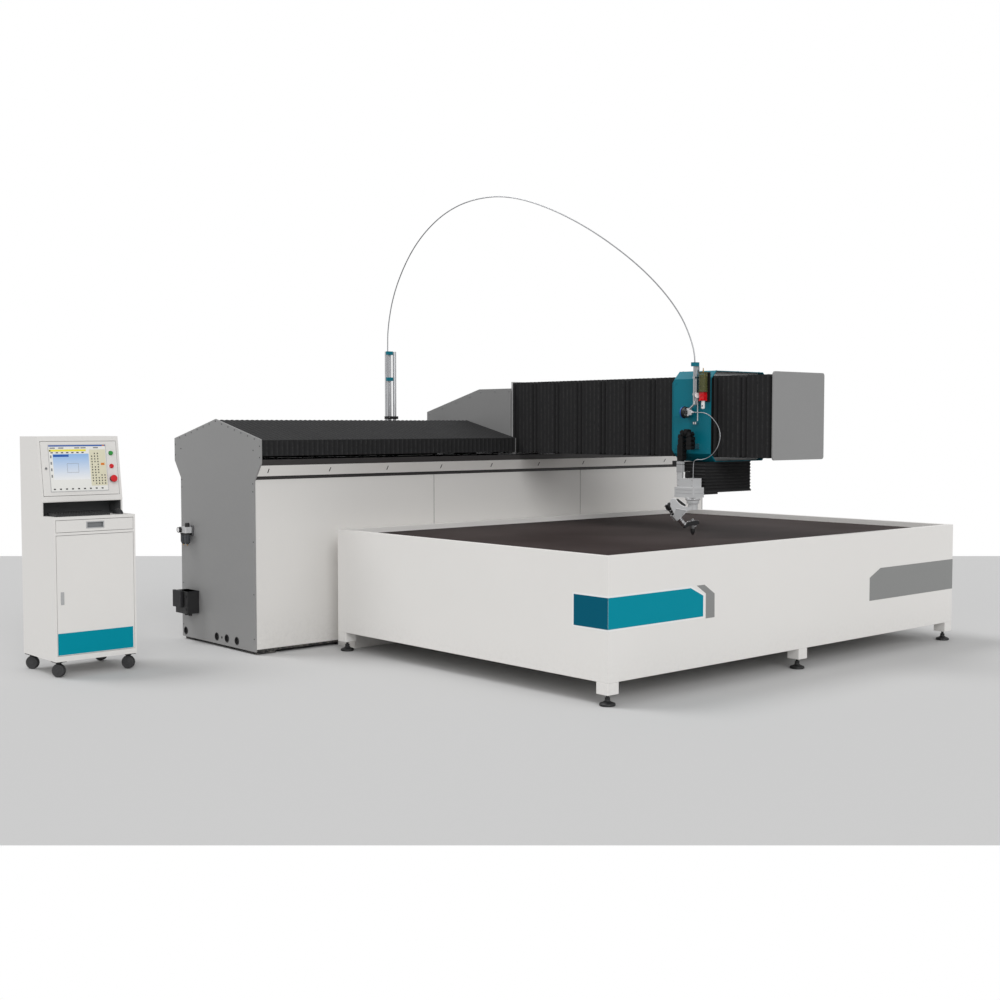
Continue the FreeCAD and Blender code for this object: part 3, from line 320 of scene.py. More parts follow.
def makeMetalSkin():
    tree, start, end = newGroup("metalSkin", [
        ("Colour", "NodeSocketColor", (0.6, 0.6, 0.6, 1)), ("Roughness", "NodeSocketFloat", 0.3),
        ("Stretch", "NodeSocketVector", (1, 1, 1)), ("Amount", "NodeSocketFloat", 0.1)],
        [("Colour", "NodeSocketColor"), ("Roughness", "NodeSocketFloat"), ("Height", "NodeSocketFloat")])
    place = tree.nodes.new("ShaderNodeTexCoord").outputs["Object"]
    stretch = tree.nodes.new("ShaderNodeVectorMath")
    stretch.operation = "MULTIPLY"
    tree.links.new(place, stretch.inputs[0])
    tree.links.new(start.outputs["Stretch"], stretch.inputs[1])
    grain = noiseNode(tree, stretch.outputs[0], 90.0, 6.0, 0.6)
    cloud = noiseNode(tree, place, 14.0, 3.0)
    centred = mathNode(tree, "ADD", mathNode(tree, "SUBTRACT", grain, 0.5),
                       mathNode(tree, "MULTIPLY", mathNode(tree, "SUBTRACT", cloud, 0.5), 0.6))
    swing = mathNode(tree, "MULTIPLY", centred, start.outputs["Amount"])
    tree.links.new(scaleColour(tree, start.outputs["Colour"], mathNode(tree, "ADD", swing, 1.0)),
                   end.inputs["Colour"])
    tree.links.new(mathNode(tree, "ADD", start.outputs["Roughness"], swing, True), end.inputs["Roughness"])
    tree.links.new(grain, end.inputs["Height"])
    return tree


def makeClothSkin():
    tree, start, end = newGroup("clothSkin", [
        ("Colour", "NodeSocketColor", (0.03, 0.03, 0.03, 1)), ("Worn", "NodeSocketFloat", 0.4),
        ("Roughness", "NodeSocketFloat", 0.6)],
        [("Colour", "NodeSocketColor"), ("Roughness", "NodeSocketFloat"), ("Height", "NodeSocketFloat")])
    place = tree.nodes.new("ShaderNodeTexCoord").outputs["Object"]
    weaves = []
    for turn in ((0.0, 0.0, 0.0), (math.radians(90), 0.0, math.radians(90))):
        mapping = tree.nodes.new("ShaderNodeMapping")
        mapping.inputs["Rotation"].default_value = turn
        tree.links.new(place, mapping.inputs["Vector"])
        wave = tree.nodes.new("ShaderNodeTexWave")
        wave.wave_type = "BANDS"
        wave.bands_direction = "DIAGONAL"
        wave.inputs["Scale"].default_value = 260.0
        wave.inputs["Distortion"].default_value = 0.6
        tree.links.new(mapping.outputs[0], wave.inputs["Vector"])
        weaves.append(wave.outputs["Fac"])
    weave = mathNode(tree, "MULTIPLY", weaves[0], weaves[1])
    cloud = noiseNode(tree, place, 5.0, 4.0)
    speck = noiseNode(tree, place, 60.0, 4.0, 0.6)
    crest = tree.nodes.new("ShaderNodeAttribute")
    crest.attribute_name = "crest"
    edge = mathNode(tree, "POWER", crest.outputs["Fac"], 4.0)
    rub = mathNode(tree, "MULTIPLY", mathNode(tree, "MULTIPLY", edge, start.outputs["Worn"]),
                   rampNode(tree, speck, 0.35, 0.65), True)
    shade = mathNode(tree, "ADD", mathNode(tree, "MULTIPLY", mathNode(tree, "SUBTRACT", cloud, 0.5), 0.3),
                     1.0)
    tree.links.new(mixColour(tree, rub, scaleColour(tree, start.outputs["Colour"], shade),
                             (0.16, 0.16, 0.16, 1)), end.inputs["Colour"])
    uneven = mathNode(tree, "MULTIPLY", mathNode(tree, "SUBTRACT", cloud, 0.5), 0.2)
    tree.links.new(mathNode(tree, "ADD", start.outputs["Roughness"], uneven, True), end.inputs["Roughness"])
    tree.links.new(weave, end.inputs["Height"])
    return tree


paintSkin, metalSkin, clothSkin = makePaintSkin(), makeMetalSkin(), makeClothSkin()


def newMaterial(name, skin, values, bump=0.1, distance=0.0004, **shaderValues):
    material = bpy.data.materials.new(name)
    material.use_nodes = True
    tree = material.node_tree
    shader = tree.nodes["Principled BSDF"]
    group = tree.nodes.new("ShaderNodeGroup")
    group.node_tree = skin
    for label, value in values.items():
        group.inputs[label].default_value = value
    tree.links.new(group.outputs["Colour"], shader.inputs["Base Color"])
    tree.links.new(group.outputs["Roughness"], shader.inputs["Roughness"])
    relief = tree.nodes.new("ShaderNodeBump")
    relief.inputs["Strength"].default_value = bump
    relief.inputs["Distance"].default_value = distance
    tree.links.new(group.outputs["Height"], relief.inputs["Height"])
    tree.links.new(relief.outputs["Normal"], shader.inputs["Normal"])
    for label, value in shaderValues.items():
        shader.inputs[label.replace("_", " ").title().replace("Ior", "IOR")].default_value = value
    material.diffuse_color = values["Colour"]
    return material


def rgb(r, g, b):
    return tuple(c / 12.92 if c <= 0.04045 else ((c + 0.055) / 1.055) ** 2.4
                 for c in (r / 255, g / 255, b / 255)) + (1.0,)


def paint(name, colour, roughness=0.42, mottle=0.03, dust=0.25, bump=0.12, **more):
    return newMaterial(name, paintSkin, {"Colour": colour, "Roughness": roughness, "Mottle": mottle,
                                         "Dust": dust}, bump, **more)


def metal(name, colour, roughness=0.3, stretch=(1, 1, 1), amount=0.12, bump=0.06, **more):
    return newMaterial(name, metalSkin, {"Colour": colour, "Roughness": roughness, "Stretch": stretch,
                                         "Amount": amount},
                       bump, metallic=1.0, **more)


whitePowder = paint("whitePowder", rgb(234, 232, 229), 0.42, 0.02, 0.1)
# painted shade: a darker copy of the white paint on the housing panels, for the shade cast by the gantry and
# tank
panelShadedWhite = paint("panelShadedWhite", rgb(221, 219, 216), 0.42, 0.02, 0.15)
greyPowder = paint("greyPowder", rgb(143, 143, 143), 0.45, 0.03, 0.2)
# painted shade: the saddle grey is set darker than the end-plate grey to stand for the shade on the saddle sides
saddleShadedGrey = paint("saddleShadedGrey", rgb(134, 134, 134), 0.45, 0.03, 0.0)
palePowder = paint("palePowder", rgb(196, 196, 196), 0.4, 0.03, 0.0)
darkPowder = paint("darkPowder", rgb(38, 38, 40), 0.55, 0.08, 0.4, specular_ior_level=0.3)
tealPowder = paint("tealPowder", rgb(4, 116, 134), 0.42, 0.04, 0.0, specular_ior_level=0.22)
tealFilm = paint("tealFilm", rgb(0, 142, 162), 0.5, 0.02, 0.0, 0.04, specular_ior_level=0.06)
tealFilmDark = paint("tealFilmDark", rgb(0, 90, 114), 0.5, 0.02, 0.0, 0.04, specular_ior_level=0.06)
greyFilm = paint("greyFilm", rgb(138, 139, 138), 0.4, 0.02, 0.0, 0.04)
whiteFilm = paint("whiteFilm", rgb(240, 240, 240), 0.34, 0.01, 0.0, 0.04)
bellowsCloth = newMaterial("bellowsCloth", clothSkin,
                           {"Colour": rgb(34, 34, 35), "Worn": 0.2, "Roughness": 0.72}, 0.25, 0.0006,
                           specular_ior_level=0.2)
slatSteel = metal("slatSteel", rgb(92, 84, 78), 0.5, (1, 1, 0.1), 0.5, 0.3)
railSteel = metal("railSteel", rgb(176, 176, 178), 0.28, (0.05, 1, 1), 0.15)
satinAluminium = metal("satinAluminium", rgb(205, 206, 208), 0.38, (1, 1, 0.06), 0.1)
castSilver = paint("castSilver", rgb(202, 203, 204), 0.34, 0.05, 0.0, 0.3, metallic=0.1)
# painted highlight: a near-white copy of castSilver for bevels, rims and edge lines that catch the light
castEdgeHighlight = paint("castEdgeHighlight", rgb(244, 244, 244), 0.3, 0.05, 0.0, 0.2)
polishedSteel = metal("polishedSteel", rgb(214, 214, 216), 0.16, (1, 1, 1), 0.08, 0.02)
screwSteel = metal("screwSteel", rgb(150, 150, 152), 0.3, (1, 1, 1), 0.1)
darkScrew = metal("darkScrew", rgb(84, 84, 86), 0.4, (1, 1, 1), 0.1)
tubeSteel = metal("tubeSteel", rgb(176, 177, 180), 0.4, (1, 1, 1), 0.06)
gearGrey = paint("gearGrey", rgb(172, 173, 174), 0.36, 0.05, 0.0, 0.3)
handleGrey = paint("handleGrey", rgb(176, 177, 178), 0.45, 0.05, 0.0, 0.25)
brass = metal("brass", rgb(190, 150, 80), 0.3, (1, 1, 1), 0.12)
blackPlastic = paint("blackPlastic", rgb(30, 30, 31), 0.5, 0.1, 0.0, 0.3)
greyPlastic = paint("greyPlastic", rgb(128, 130, 132), 0.45, 0.05, 0.0, 0.25)
casterRubber = paint("casterRubber", rgb(56, 56, 57), 0.62, 0.06, 0.0, 0.4)
smokedPlastic = paint("smokedPlastic", rgb(58, 62, 66), 0.2, 0.06, 0.0, 0.1)
jarPlastic = paint("jarPlastic", rgb(104, 106, 62), 0.16, 0.05, 0.0, 0.05, alpha=0.5)
jarFill = paint("jarFill", rgb(74, 76, 44), 0.6, 0.2, 0.0, 0.5)
screenGlass = paint("screenGlass", rgb(240, 240, 236), 0.25, 0.01, 0.0, 0.02)
screenBlue = paint("screenBlue", rgb(38, 92, 176), 0.25, 0.01, 0.0, 0.02)
screenYellow = paint("screenYellow", rgb(244, 232, 70), 0.25, 0.01, 0.0, 0.02)
screenCream = paint("screenCream", rgb(226, 222, 196), 0.25, 0.01, 0.0, 0.02)
orangePlastic = paint("orangePlastic", rgb(222, 128, 40), 0.25, 0.01, 0.0, 0.02)
consolePowder = paint("consolePowder", rgb(230, 228, 225), 0.42, 0.02, 0.05)
mastAluminium = metal("mastAluminium", rgb(216, 217, 219), 0.42, (1, 1, 0.06), 0.1)
chainPlastic = paint("chainPlastic", rgb(20, 20, 21), 0.5, 0.1, 0.0, 0.2, specular_ior_level=0.25)
keyboardPlastic = paint("keyboardPlastic", rgb(36, 37, 39), 0.5, 0.1, 0.0, 0.2)
# painted shade: mid grey for the back of the console recess
recessShadeGrey = paint("recessShadeGrey", rgb(96, 97, 98), 0.6, 0.05, 0.0)
redPlastic = paint("redPlastic", rgb(214, 20, 30), 0.3, 0.03, 0.0, 0.05)
greenPlastic = paint("greenPlastic", rgb(40, 150, 60), 0.3, 0.03, 0.0, 0.05)
bluePlastic = paint("bluePlastic", rgb(16, 84, 170), 0.35, 0.04, 0.0, 0.1)
print("finishes made:", len(bpy.data.materials))


# geometry trees

def startTree(name, inputs):
    tree = bpy.data.node_groups.new(name, "GeometryNodeTree")
    tree.interface.new_socket(name="Geometry", in_out="INPUT", socket_type="NodeSocketGeometry")
    for label, kind, value in inputs:
        socket = tree.interface.new_socket(name=label, in_out="INPUT", socket_type=kind)
        if value is not None:
            socket.default_value = value
    tree.interface.new_socket(name="Geometry", in_out="OUTPUT", socket_type="NodeSocketGeometry")
    return tree, tree.nodes.new("NodeGroupInput"), tree.nodes.new("NodeGroupOutput")


def namedValue(tree, name, kind):
    node = tree.nodes.new("GeometryNodeInputNamedAttribute")
    node.data_type = kind
    node.inputs["Name"].default_value = name
    return [s for s in node.outputs if s.enabled and s.name == "Attribute"][0]


def runTree(piece, tree, settings, angle=35.0):
    modifier = piece.modifiers.new(tree.name, "NODES")
    modifier.node_group = tree
    for item in tree.interface.items_tree:
        if item.item_type == "SOCKET" and item.in_out == "INPUT" and item.name in settings:
            modifier[item.identifier] = settings[item.name]
    return applyModifiers(piece, angle)


def endTree(tree, geometry, start, end):
    realize = tree.nodes.new("GeometryNodeRealizeInstances")
    finish = tree.nodes.new("GeometryNodeSetMaterial")
    tree.links.new(geometry, realize.inputs[0])
    tree.links.new(realize.outputs[0], finish.inputs["Geometry"])
    tree.links.new(start.outputs["Finish"], finish.inputs["Material"])
    tree.links.new(finish.outputs[0], end.inputs[0])


def makeScatterTree():
    tree, start, end = startTree("scatterTree", [
        ("Shape", "NodeSocketObject", None), ("Finish", "NodeSocketMaterial", None),
        ("Size", "NodeSocketFloat", 1.0)])
    shape = tree.nodes.new("GeometryNodeObjectInfo")
    tree.links.new(start.outputs["Shape"], shape.inputs["Object"])
    align = tree.nodes.new("FunctionNodeAlignRotationToVector")
    align.axis = "Z"
    tree.links.new(namedValue(tree, "facing", "FLOAT_VECTOR"), align.inputs["Vector"])
    place = tree.nodes.new("GeometryNodeInstanceOnPoints")
    tree.links.new(start.outputs["Geometry"], place.inputs["Points"])
    tree.links.new(shape.outputs["Geometry"], place.inputs["Instance"])
    tree.links.new(align.outputs["Rotation"], place.inputs["Rotation"])
    tree.links.new(start.outputs["Size"], place.inputs["Scale"])
    endTree(tree, place.outputs["Instances"], start, end)
    return tree


def makeFoldTree():
    tree, start, end = startTree("foldTree", [
        ("Finish", "NodeSocketMaterial", None), ("Fold Depth", "NodeSocketFloat", 0.01),
        ("Deep Fold", "NodeSocketFloat", 0.01),
        ("Panel Folds", "NodeSocketInt", 6)])
    ring = namedValue(tree, "ring", "INT")
    inward = namedValue(tree, "inward", "FLOAT_VECTOR")
    odd = mathNode(tree, "MODULO", ring, 2.0)
    fold = mathNode(tree, "FLOOR", mathNode(tree, "DIVIDE", ring, 2.0))
    inPanel = mathNode(tree, "MODULO", fold, start.outputs["Panel Folds"])
    last = mathNode(tree, "SUBTRACT", start.outputs["Panel Folds"], 1.5)
    outer = mathNode(tree, "ADD", mathNode(tree, "LESS_THAN", inPanel, 0.5),
                     mathNode(tree, "GREATER_THAN", inPanel, last), True)
    extra = mathNode(tree, "MULTIPLY", outer, mathNode(tree, "SUBTRACT", start.outputs["Deep Fold"],
                                                       start.outputs["Fold Depth"]))
    depth = mathNode(tree, "MULTIPLY", odd, mathNode(tree, "ADD", start.outputs["Fold Depth"], extra))
    offset = tree.nodes.new("ShaderNodeVectorMath")
    offset.operation = "SCALE"
    tree.links.new(inward, offset.inputs[0])
    tree.links.new(depth, offset.inputs["Scale"])
    move = tree.nodes.new("GeometryNodeSetPosition")
    tree.links.new(start.outputs["Geometry"], move.inputs["Geometry"])
    tree.links.new(offset.outputs[0], move.inputs["Offset"])
    store = tree.nodes.new("GeometryNodeStoreNamedAttribute")
    store.data_type = "FLOAT"
    store.domain = "POINT"
    store.inputs["Name"].default_value = "crest"
    tree.links.new(move.outputs[0], store.inputs["Geometry"])
    value = [s for s in store.inputs if s.name == "Value" and s.enabled][0]
    tree.links.new(mathNode(tree, "SUBTRACT", 1.0, odd), value)
    endTree(tree, store.outputs[0], start, end)
    return tree


def makeLinkTree():
    tree, start, end = startTree("linkTree", [
        ("Shape", "NodeSocketObject", None), ("Finish", "NodeSocketMaterial", None),
        ("Pitch", "NodeSocketFloat", 0.03)])
    toCurve = tree.nodes.new("GeometryNodeMeshToCurve")
    tree.links.new(start.outputs["Geometry"], toCurve.inputs[0])
    points = tree.nodes.new("GeometryNodeCurveToPoints")
    points.mode = "LENGTH"
    tree.links.new(toCurve.outputs[0], points.inputs["Curve"])
    tree.links.new(start.outputs["Pitch"], points.inputs["Length"])
    shape = tree.nodes.new("GeometryNodeObjectInfo")
    tree.links.new(start.outputs["Shape"], shape.inputs["Object"])
    along = tree.nodes.new("FunctionNodeAlignRotationToVector")
    along.axis = "Z"
    tree.links.new(points.outputs["Tangent"], along.inputs["Vector"])
    side = tree.nodes.new("FunctionNodeAlignRotationToVector")
    side.axis = "X"
    side.pivot_axis = "Z"
    side.inputs["Vector"].default_value = (1, 0, 0)
    tree.links.new(along.outputs[0], side.inputs["Rotation"])
    place = tree.nodes.new("GeometryNodeInstanceOnPoints")
    tree.links.new(points.outputs["Points"], place.inputs["Points"])
    tree.links.new(shape.outputs["Geometry"], place.inputs["Instance"])
    tree.links.new(side.outputs[0], place.inputs["Rotation"])
    endTree(tree, place.outputs["Instances"], start, end)
    return tree


scatterTree, foldTree, linkTree = makeScatterTree(), makeFoldTree(), makeLinkTree()


def shapeObject(name, bm):
    bmesh.ops.recalc_face_normals(bm, faces=bm.faces[:])
    mesh = bpy.data.meshes.new(name)
    bm.to_mesh(mesh)
    bm.free()
    shape = bpy.data.objects.new(name, mesh)
    bpy.context.scene.collection.objects.link(shape)
    return shape


def pointPiece(name, places):
    mesh = bpy.data.meshes.new(name)
    mesh.from_pydata([Vector(p) + tankCorner for p, facing in places], [], [])
    facings = mesh.attributes.new("facing", "FLOAT_VECTOR", "POINT")
    facings.data.foreach_set("vector", [c for p, facing in places for c in facing])
    piece = bpy.data.objects.new(name, mesh)
    bpy.context.scene.collection.objects.link(piece)
    return piece


def screwShape(settings):
    r, h = settings["headRadius"], settings["headHeight"]
    bm = bmesh.new()
    addTurned(bm, [(0, 0), (r, 0), (r, h * 0.55), (r * 0.8, h * 0.9), (r * 0.5, h), (r * 0.48, h * 0.45),
                   (0, h * 0.4)],
              (0, 0, 0), (0, 0, 1), 0, 12)
    return shapeObject("screwShape", bm)


def scatter(name, body, places, shape, finish, size=1.0):
    piece = runTree(pointPiece(name, places), scatterTree, {"Shape": shape, "Finish": finish, "Size": size},
                    40.0)
    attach(piece, body)
    return piece


# outline moved inwards by depth, for the direction of the folds
def inset(outline, depth, closed=True):
    n = len(outline)
    result = []
    for i, point in enumerate(outline):
        sides = []
        for a, b in (((i - 1) % n, i), (i, (i + 1) % n)):
            if closed or (a < b):
                run = Vector(outline[b]) - Vector(outline[a])
                sides.append(Vector((-run.y, run.x)).normalized())
        if len(sides) == 1:
            result.append(Vector(point) + sides[0] * depth)
        else:
            total = sides[0] + sides[1]
            result.append(Vector(point) + total * (2 * depth / total.length_squared))
    return result


# pleated sleeve: rings of the outline, moved inwards in turn by foldTree
def bellows(name, outline, toSpace, start, end, settings, closed=True):
    folds = max(2, round((end - start) / settings["pitch"]))
    inner = inset(outline, 1.0, closed)
    verts, rings, inward, faces = [], [], [], []
    count = len(outline)
    for i in range(2 * folds + 1):
        place = start + (end - start) * i / (2 * folds)
        for point, deep in zip(outline, inner):
            verts.append(Vector(toSpace(place, *point)) + tankCorner)
            rings.append(i)
            inward.append(Vector(toSpace(0, *deep)) - Vector(toSpace(0, *point)))
    for i in range(2 * folds):
        for k in range(count if closed else count - 1):
            j = (k + 1) % count
            faces.append((i * count + k, i * count + j, (i + 1) * count + j, (i + 1) * count + k))
    mesh = bpy.data.meshes.new(name)
    mesh.from_pydata(verts, [], faces)
    mesh.attributes.new("ring", "INT", "POINT").data.foreach_set("value", rings)
    inwardValues = [c for v in inward for c in v]
    mesh.attributes.new("inward", "FLOAT_VECTOR", "POINT").data.foreach_set("vector", inwardValues)
    piece = bpy.data.objects.new(name, mesh)
    bpy.context.scene.collection.objects.link(piece)
    runTree(piece, foldTree, {"Finish": bellowsCloth, "Fold Depth": settings["fold"],
                              "Deep Fold": settings["deep"],
                              "Panel Folds": settings["perPanel"]}, 10.0)
    if not closed:
        wall = piece.modifiers.new("wall", "SOLIDIFY")
        wall.thickness = 0.003
        wall.offset = -1.0
        applyModifiers(piece, 10.0)
    return piece


# bellows

housingMiddle = 3.667
# pitch and fold make one pleat, deep is the fold between two panels of the sleeve
roof = {"pitch": 0.046, "fold": 0.004, "deep": 0.004, "perPanel": 99, "gap": 0.005, "low": 1.510,
        "half": 0.659, "ridge": 1.790, "rise": 0.155}
beam = {"pitch": 0.045, "fold": 0.0025, "deep": 0.018, "perPanel": 6, "middle": 2.320, "half": 0.305,
        "low": 1.500, "high": 2.112}
lift = {"pitch": 0.0244, "fold": 0.005, "deep": 0.005, "perPanel": 99, "x": (1.920, 2.467),
        "y": (0.838, 1.060), "z": (1.2453, 1.4647)}


def roofLine():
    slope = roof["rise"] / roof["half"]
    half = roof["half"] - roof["gap"]
    top = roof["ridge"] - roof["gap"] * math.sqrt(1 + slope ** 2)
    side = top - half * slope
    return [(housingMiddle + half, roof["low"]), (housingMiddle + half, side), (housingMiddle, top),
            (housingMiddle - half, side), (housingMiddle - half, roof["low"])]


def alongX(p, a, b):
    return (p, a, b)


def alongY(p, a, b):
    return (a, p, b)


def alongZ(p, a, b):
    return (a, b, p)


roofNear = bellows("roofBellowsNear", roofLine(), alongX, -0.588, 1.9727, roof, closed=False)
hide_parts("roof_bellows_near")
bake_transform(roofNear)
roofFar = bellows("roofBellowsFar", roofLine(), alongX, 2.6673, 4.596, roof, closed=False)
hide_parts("roof_bellows_far")
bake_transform(roofFar)

beamLine = [(beam["middle"] - beam["half"], beam["low"]), (beam["middle"] + beam["half"], beam["low"]),
            (beam["middle"] + beam["half"], beam["high"]), (beam["middle"] - beam["half"], beam["high"])]
beamFront = bellows("beamBellowsFront", beamLine, alongY, 0.295, 0.8847, beam)
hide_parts("beam_bellows_front")
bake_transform(beamFront)
beamRear = bellows("beamBellowsRear", beamLine, alongY, 1.1913, 3.090, beam)
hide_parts("beam_bellows_rear")
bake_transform(beamRear)

liftLine = [(lift["x"][0], lift["y"][0]), (lift["x"][1], lift["y"][0]), (lift["x"][1], lift["y"][1]),
            (lift["x"][0], lift["y"][1])]
liftBellows = bellows("liftBellows", liftLine, alongZ, lift["z"][0], lift["z"][1], lift)
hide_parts("lift_bellows")
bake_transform(liftBellows)
print("bellows folded")


# pressure tubes

archSettings = {"mast": (1.601, 4.354, 2.420), "drop": (1.923, 0.950), "radius": 0.005, "loopRadius": 0.0032}
# (distance from the mast, height over its top) along the arch
archRear = [(0, -0.272), (0, 0), (0.004, 0.220), (0.080, 0.512), (0.240, 0.786), (0.430, 0.992),
            (0.667, 1.146), (0.897, 1.230), (1.121, 1.264), (1.244, 1.264)]
archFront = [(1.244, 1.264), (1.366, 1.264), (1.605, 1.223), (1.863, 1.141), (2.162, 1.014), (2.497, 0.834),
             (2.866, 0.586), (3.132, 0.354), (3.306, 0.147), (3.395, -0.030), (3.431, -0.150),
             (3.431, -0.205)]


def archPoints(route):
    base = Vector(archSettings["mast"])
    way = Vector((archSettings["drop"][0] - base.x, archSettings["drop"][1] - base.y, 0))
    scale = way.length / archFront[-1][0]
    way.normalize()
    return [base + way * (s * scale) + Vector((0, 0, z)) for s, z in route]


rearPoints, frontPoints = archPoints(archRear), archPoints(archFront)
rearTube = smoothTube("pressureArchRear", rearPoints, archSettings["radius"], tubeSteel)
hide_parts("pressure_tube_rear")
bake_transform(rearTube)
frontTube = smoothTube("pressureArchFront", frontPoints, archSettings["radius"], tubeSteel)
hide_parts("pressure_tube_front")
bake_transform(frontTube)

# (share of the way to the swivel, mm towards the front, mm over the head block)
loopRoute = [(1, -78, 373), (1, -12, 373), (0.97, 42, 369), (0.93, 84, 356), (0.87, 128, 329),
             (0.8, 167, 295), (0.73, 196, 258), (0.66, 214, 218), (0.58, 218, 171), (0.5, 206, 124),
             (0.44, 187, 90), (0.37, 161, 59), (0.29, 123, 34), (0.19, 77, 19), (0.1, 39, 20), (0.04, 14, 14),
             (0, 2, -6), (0, 0, -40), (0, 0, -122)]
loopPoints = [(1.848 + a * 0.075, 0.894 - b / 1000, 1.465 + c / 1000) for a, b, c in loopRoute]
loopTube = smoothTube("pressureLoop", loopPoints, archSettings["loopRadius"], tubeSteel)
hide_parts("pressure_tube_loop")
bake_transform(loopTube)
dress("pressure_tube_drop", tubeSteel)
print("tubes bent")


# tank

tank = {"length": 4.020, "width": 2.880, "skirt": 0.046, "waterTop": 0.899}

softCopy("tank_shell", whitePowder, 0.0025)
softCopy("tank_bridge", whitePowder, 0.0015)
dress("slat_bed", slatSteel)


def waterMaterial():
    material = bpy.data.materials.new("tankWater")
    material.use_nodes = True
    tree = material.node_tree
    shader = tree.nodes["Principled BSDF"]
    place = tree.nodes.new("ShaderNodeTexCoord").outputs["Object"]
    cloud = noiseNode(tree, place, 0.9, 3.0)
    fleck = noiseNode(tree, place, 55.0, 4.0, 0.6)
    mixed = mixColour(tree, rampNode(tree, cloud, 0.35, 0.65), rgb(58, 50, 49), rgb(74, 66, 65))
    tree.links.new(mixColour(tree, rampNode(tree, fleck, 0.62, 0.75, 0.0, 0.2), mixed, rgb(104, 94, 88)),
                   shader.inputs["Base Color"])
    ripple = noiseNode(tree, place, 16.0, 3.0)
    bump = tree.nodes.new("ShaderNodeBump")
    bump.inputs["Strength"].default_value = 0.12
    bump.inputs["Distance"].default_value = 0.004
    tree.links.new(ripple, bump.inputs["Height"])
    tree.links.new(bump.outputs[0], shader.inputs["Normal"])
    shader.inputs["Roughness"].default_value = 0.5
    shader.inputs["Specular IOR Level"].default_value = 0.015
    shader.inputs["Alpha"].default_value = 0.9
    return material


def waterSurface():
    bm = bmesh.new()
    wall = tank["skirt"] - 0.0005
    bmesh.ops.create_grid(bm, x_segments=60, y_segments=44, size=0.5)
    for vert in bm.verts:
        vert.co.x = wall + (vert.co.x + 0.5) * (tank["length"] - 2 * wall)
        vert.co.y = wall + (vert.co.y + 0.5) * (tank["width"] - 2 * wall)
        vert.co.z = tank["waterTop"]
    return newPiece("waterSurface", bm, [waterMaterial()], angle=60.0, outward=False)


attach(waterSurface(), "machine")

film = 0.0006  # thickness of the coloured bands


def filmOn(bm, outline, place, across, upward, slot, lift=0.0):
    out = Vector(across).cross(Vector(upward)).normalized()
    addPrism(bm, outline, Vector(place) + out * lift, across, upward, film, slot)


def tankFilms():
    bm = bmesh.new()
    front = {"place": (0, 0, 0), "across": (1, 0, 0), "upward": (0, 0, 1)}
    side = {"place": (0, 0, 0), "across": (0, -1, 0), "upward": (0, 0, 1)}
    low, high = 0.472, 0.693
    border = 0.012
    filmOn(bm, [(0, low), (0.917, low), (0.917, 0.628), (0.783, high), (0, high)], **front, slot=0)
    filmOn(bm, [(0, low + border), (0.903, low + border), (0.903, 0.622), (0.777, high - border),
                (0, high - border)], **front, slot=1, lift=film)
    filmOn(bm, [(-0.311, low), (0, low), (0, high), (-0.311, high)], **side, slot=0)
    filmOn(bm, [(-0.299, low + border), (0, low + border), (0, high - border), (-0.299, high - border)],
           **side, slot=2, lift=film)
    filmOn(bm, [(0.930, low - 0.004), (1.020, low - 0.004), (1.019, 0.627), (0.915, high), (0.836, high),
                (0.930, 0.634)], **front, slot=3)
    filmOn(bm, [(2.838, 0.419), (4.0195, 0.419), (4.0195, 0.659), (2.980, 0.659), (2.838, 0.594)],
           **front, slot=3)
    return newPiece("tankFilms", bm, [whiteFilm, tealFilm, tealFilmDark, greyFilm])


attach(tankFilms(), "machine")

feet = {"padRadius": 0.052, "stem": 0.010, "post": 0.05, "postZ": (0.0735, 0.150),
        "places": [(x, y) for x in (0.05, 2.01, 3.97) for y in (0.05, 2.83)]}


def footShape():
    r, s = feet["padRadius"], feet["stem"]
    bm = bmesh.new()
    addTurned(bm, [(0, 0), (r * 0.9, 0), (r, 0.004), (r, 0.011), (r * 0.93, 0.017), (r * 0.6, 0.023),
                   (r * 0.38, 0.030), (r * 0.32, 0.038), (s * 1.7, 0.041), (s * 1.7, 0.051), (s, 0.052),
                   (s, 0.073), (0, 0.073)], (0, 0, 0), (0, 0, 1), 0, 32)
    return shapeObject("footShape", bm)


def legPosts():
    bm = bmesh.new()
    half, (low, high) = feet["post"], feet["postZ"]
    for x, y in feet["places"]:
        addBox(bm, (x - half, y - half, low), (x + half, y + half, high))
    return softenEdges(newPiece("legPosts", bm, [whitePowder]), 0.003)


posts = legPosts()
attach(posts, "machine")
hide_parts("tank_legs")
foot = footShape()
levelFeet = scatter("levellingFeet", "machine", [((x, y, 0), (0, 0, 1)) for x, y in feet["places"]], foot,
                    blackPlastic)
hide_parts("tank_legs")
bpy.data.objects.remove(foot)
print("tank filled")


# rail housing

housing = {"near": -0.600, "far": 4.608, "front": 3.106, "rear": 4.228}
screws = {"headRadius": 0.006, "headHeight": 0.003}

softCopy("end_plates", greyPowder, 0.0015)
softCopy("beam_end_plate", greyPowder, 0.0015)
softCopy("saddle_plates", saddleShadedGrey, 0.0012)
softCopy("saddle_cover", saddleShadedGrey, 0.0012)
softCopy("housing_frame", darkPowder, 0.002)
softCopy("side_panels", panelShadedWhite, 0.0012)
softCopy("beam_core", palePowder, 0.001)
dress("housing_rails", railSteel)
dress("saddle_bearings", railSteel)
dress("carriage_bearings", railSteel)


strip = {"low": 1.3565, "high": 1.4385}  # the light band between the dark lips


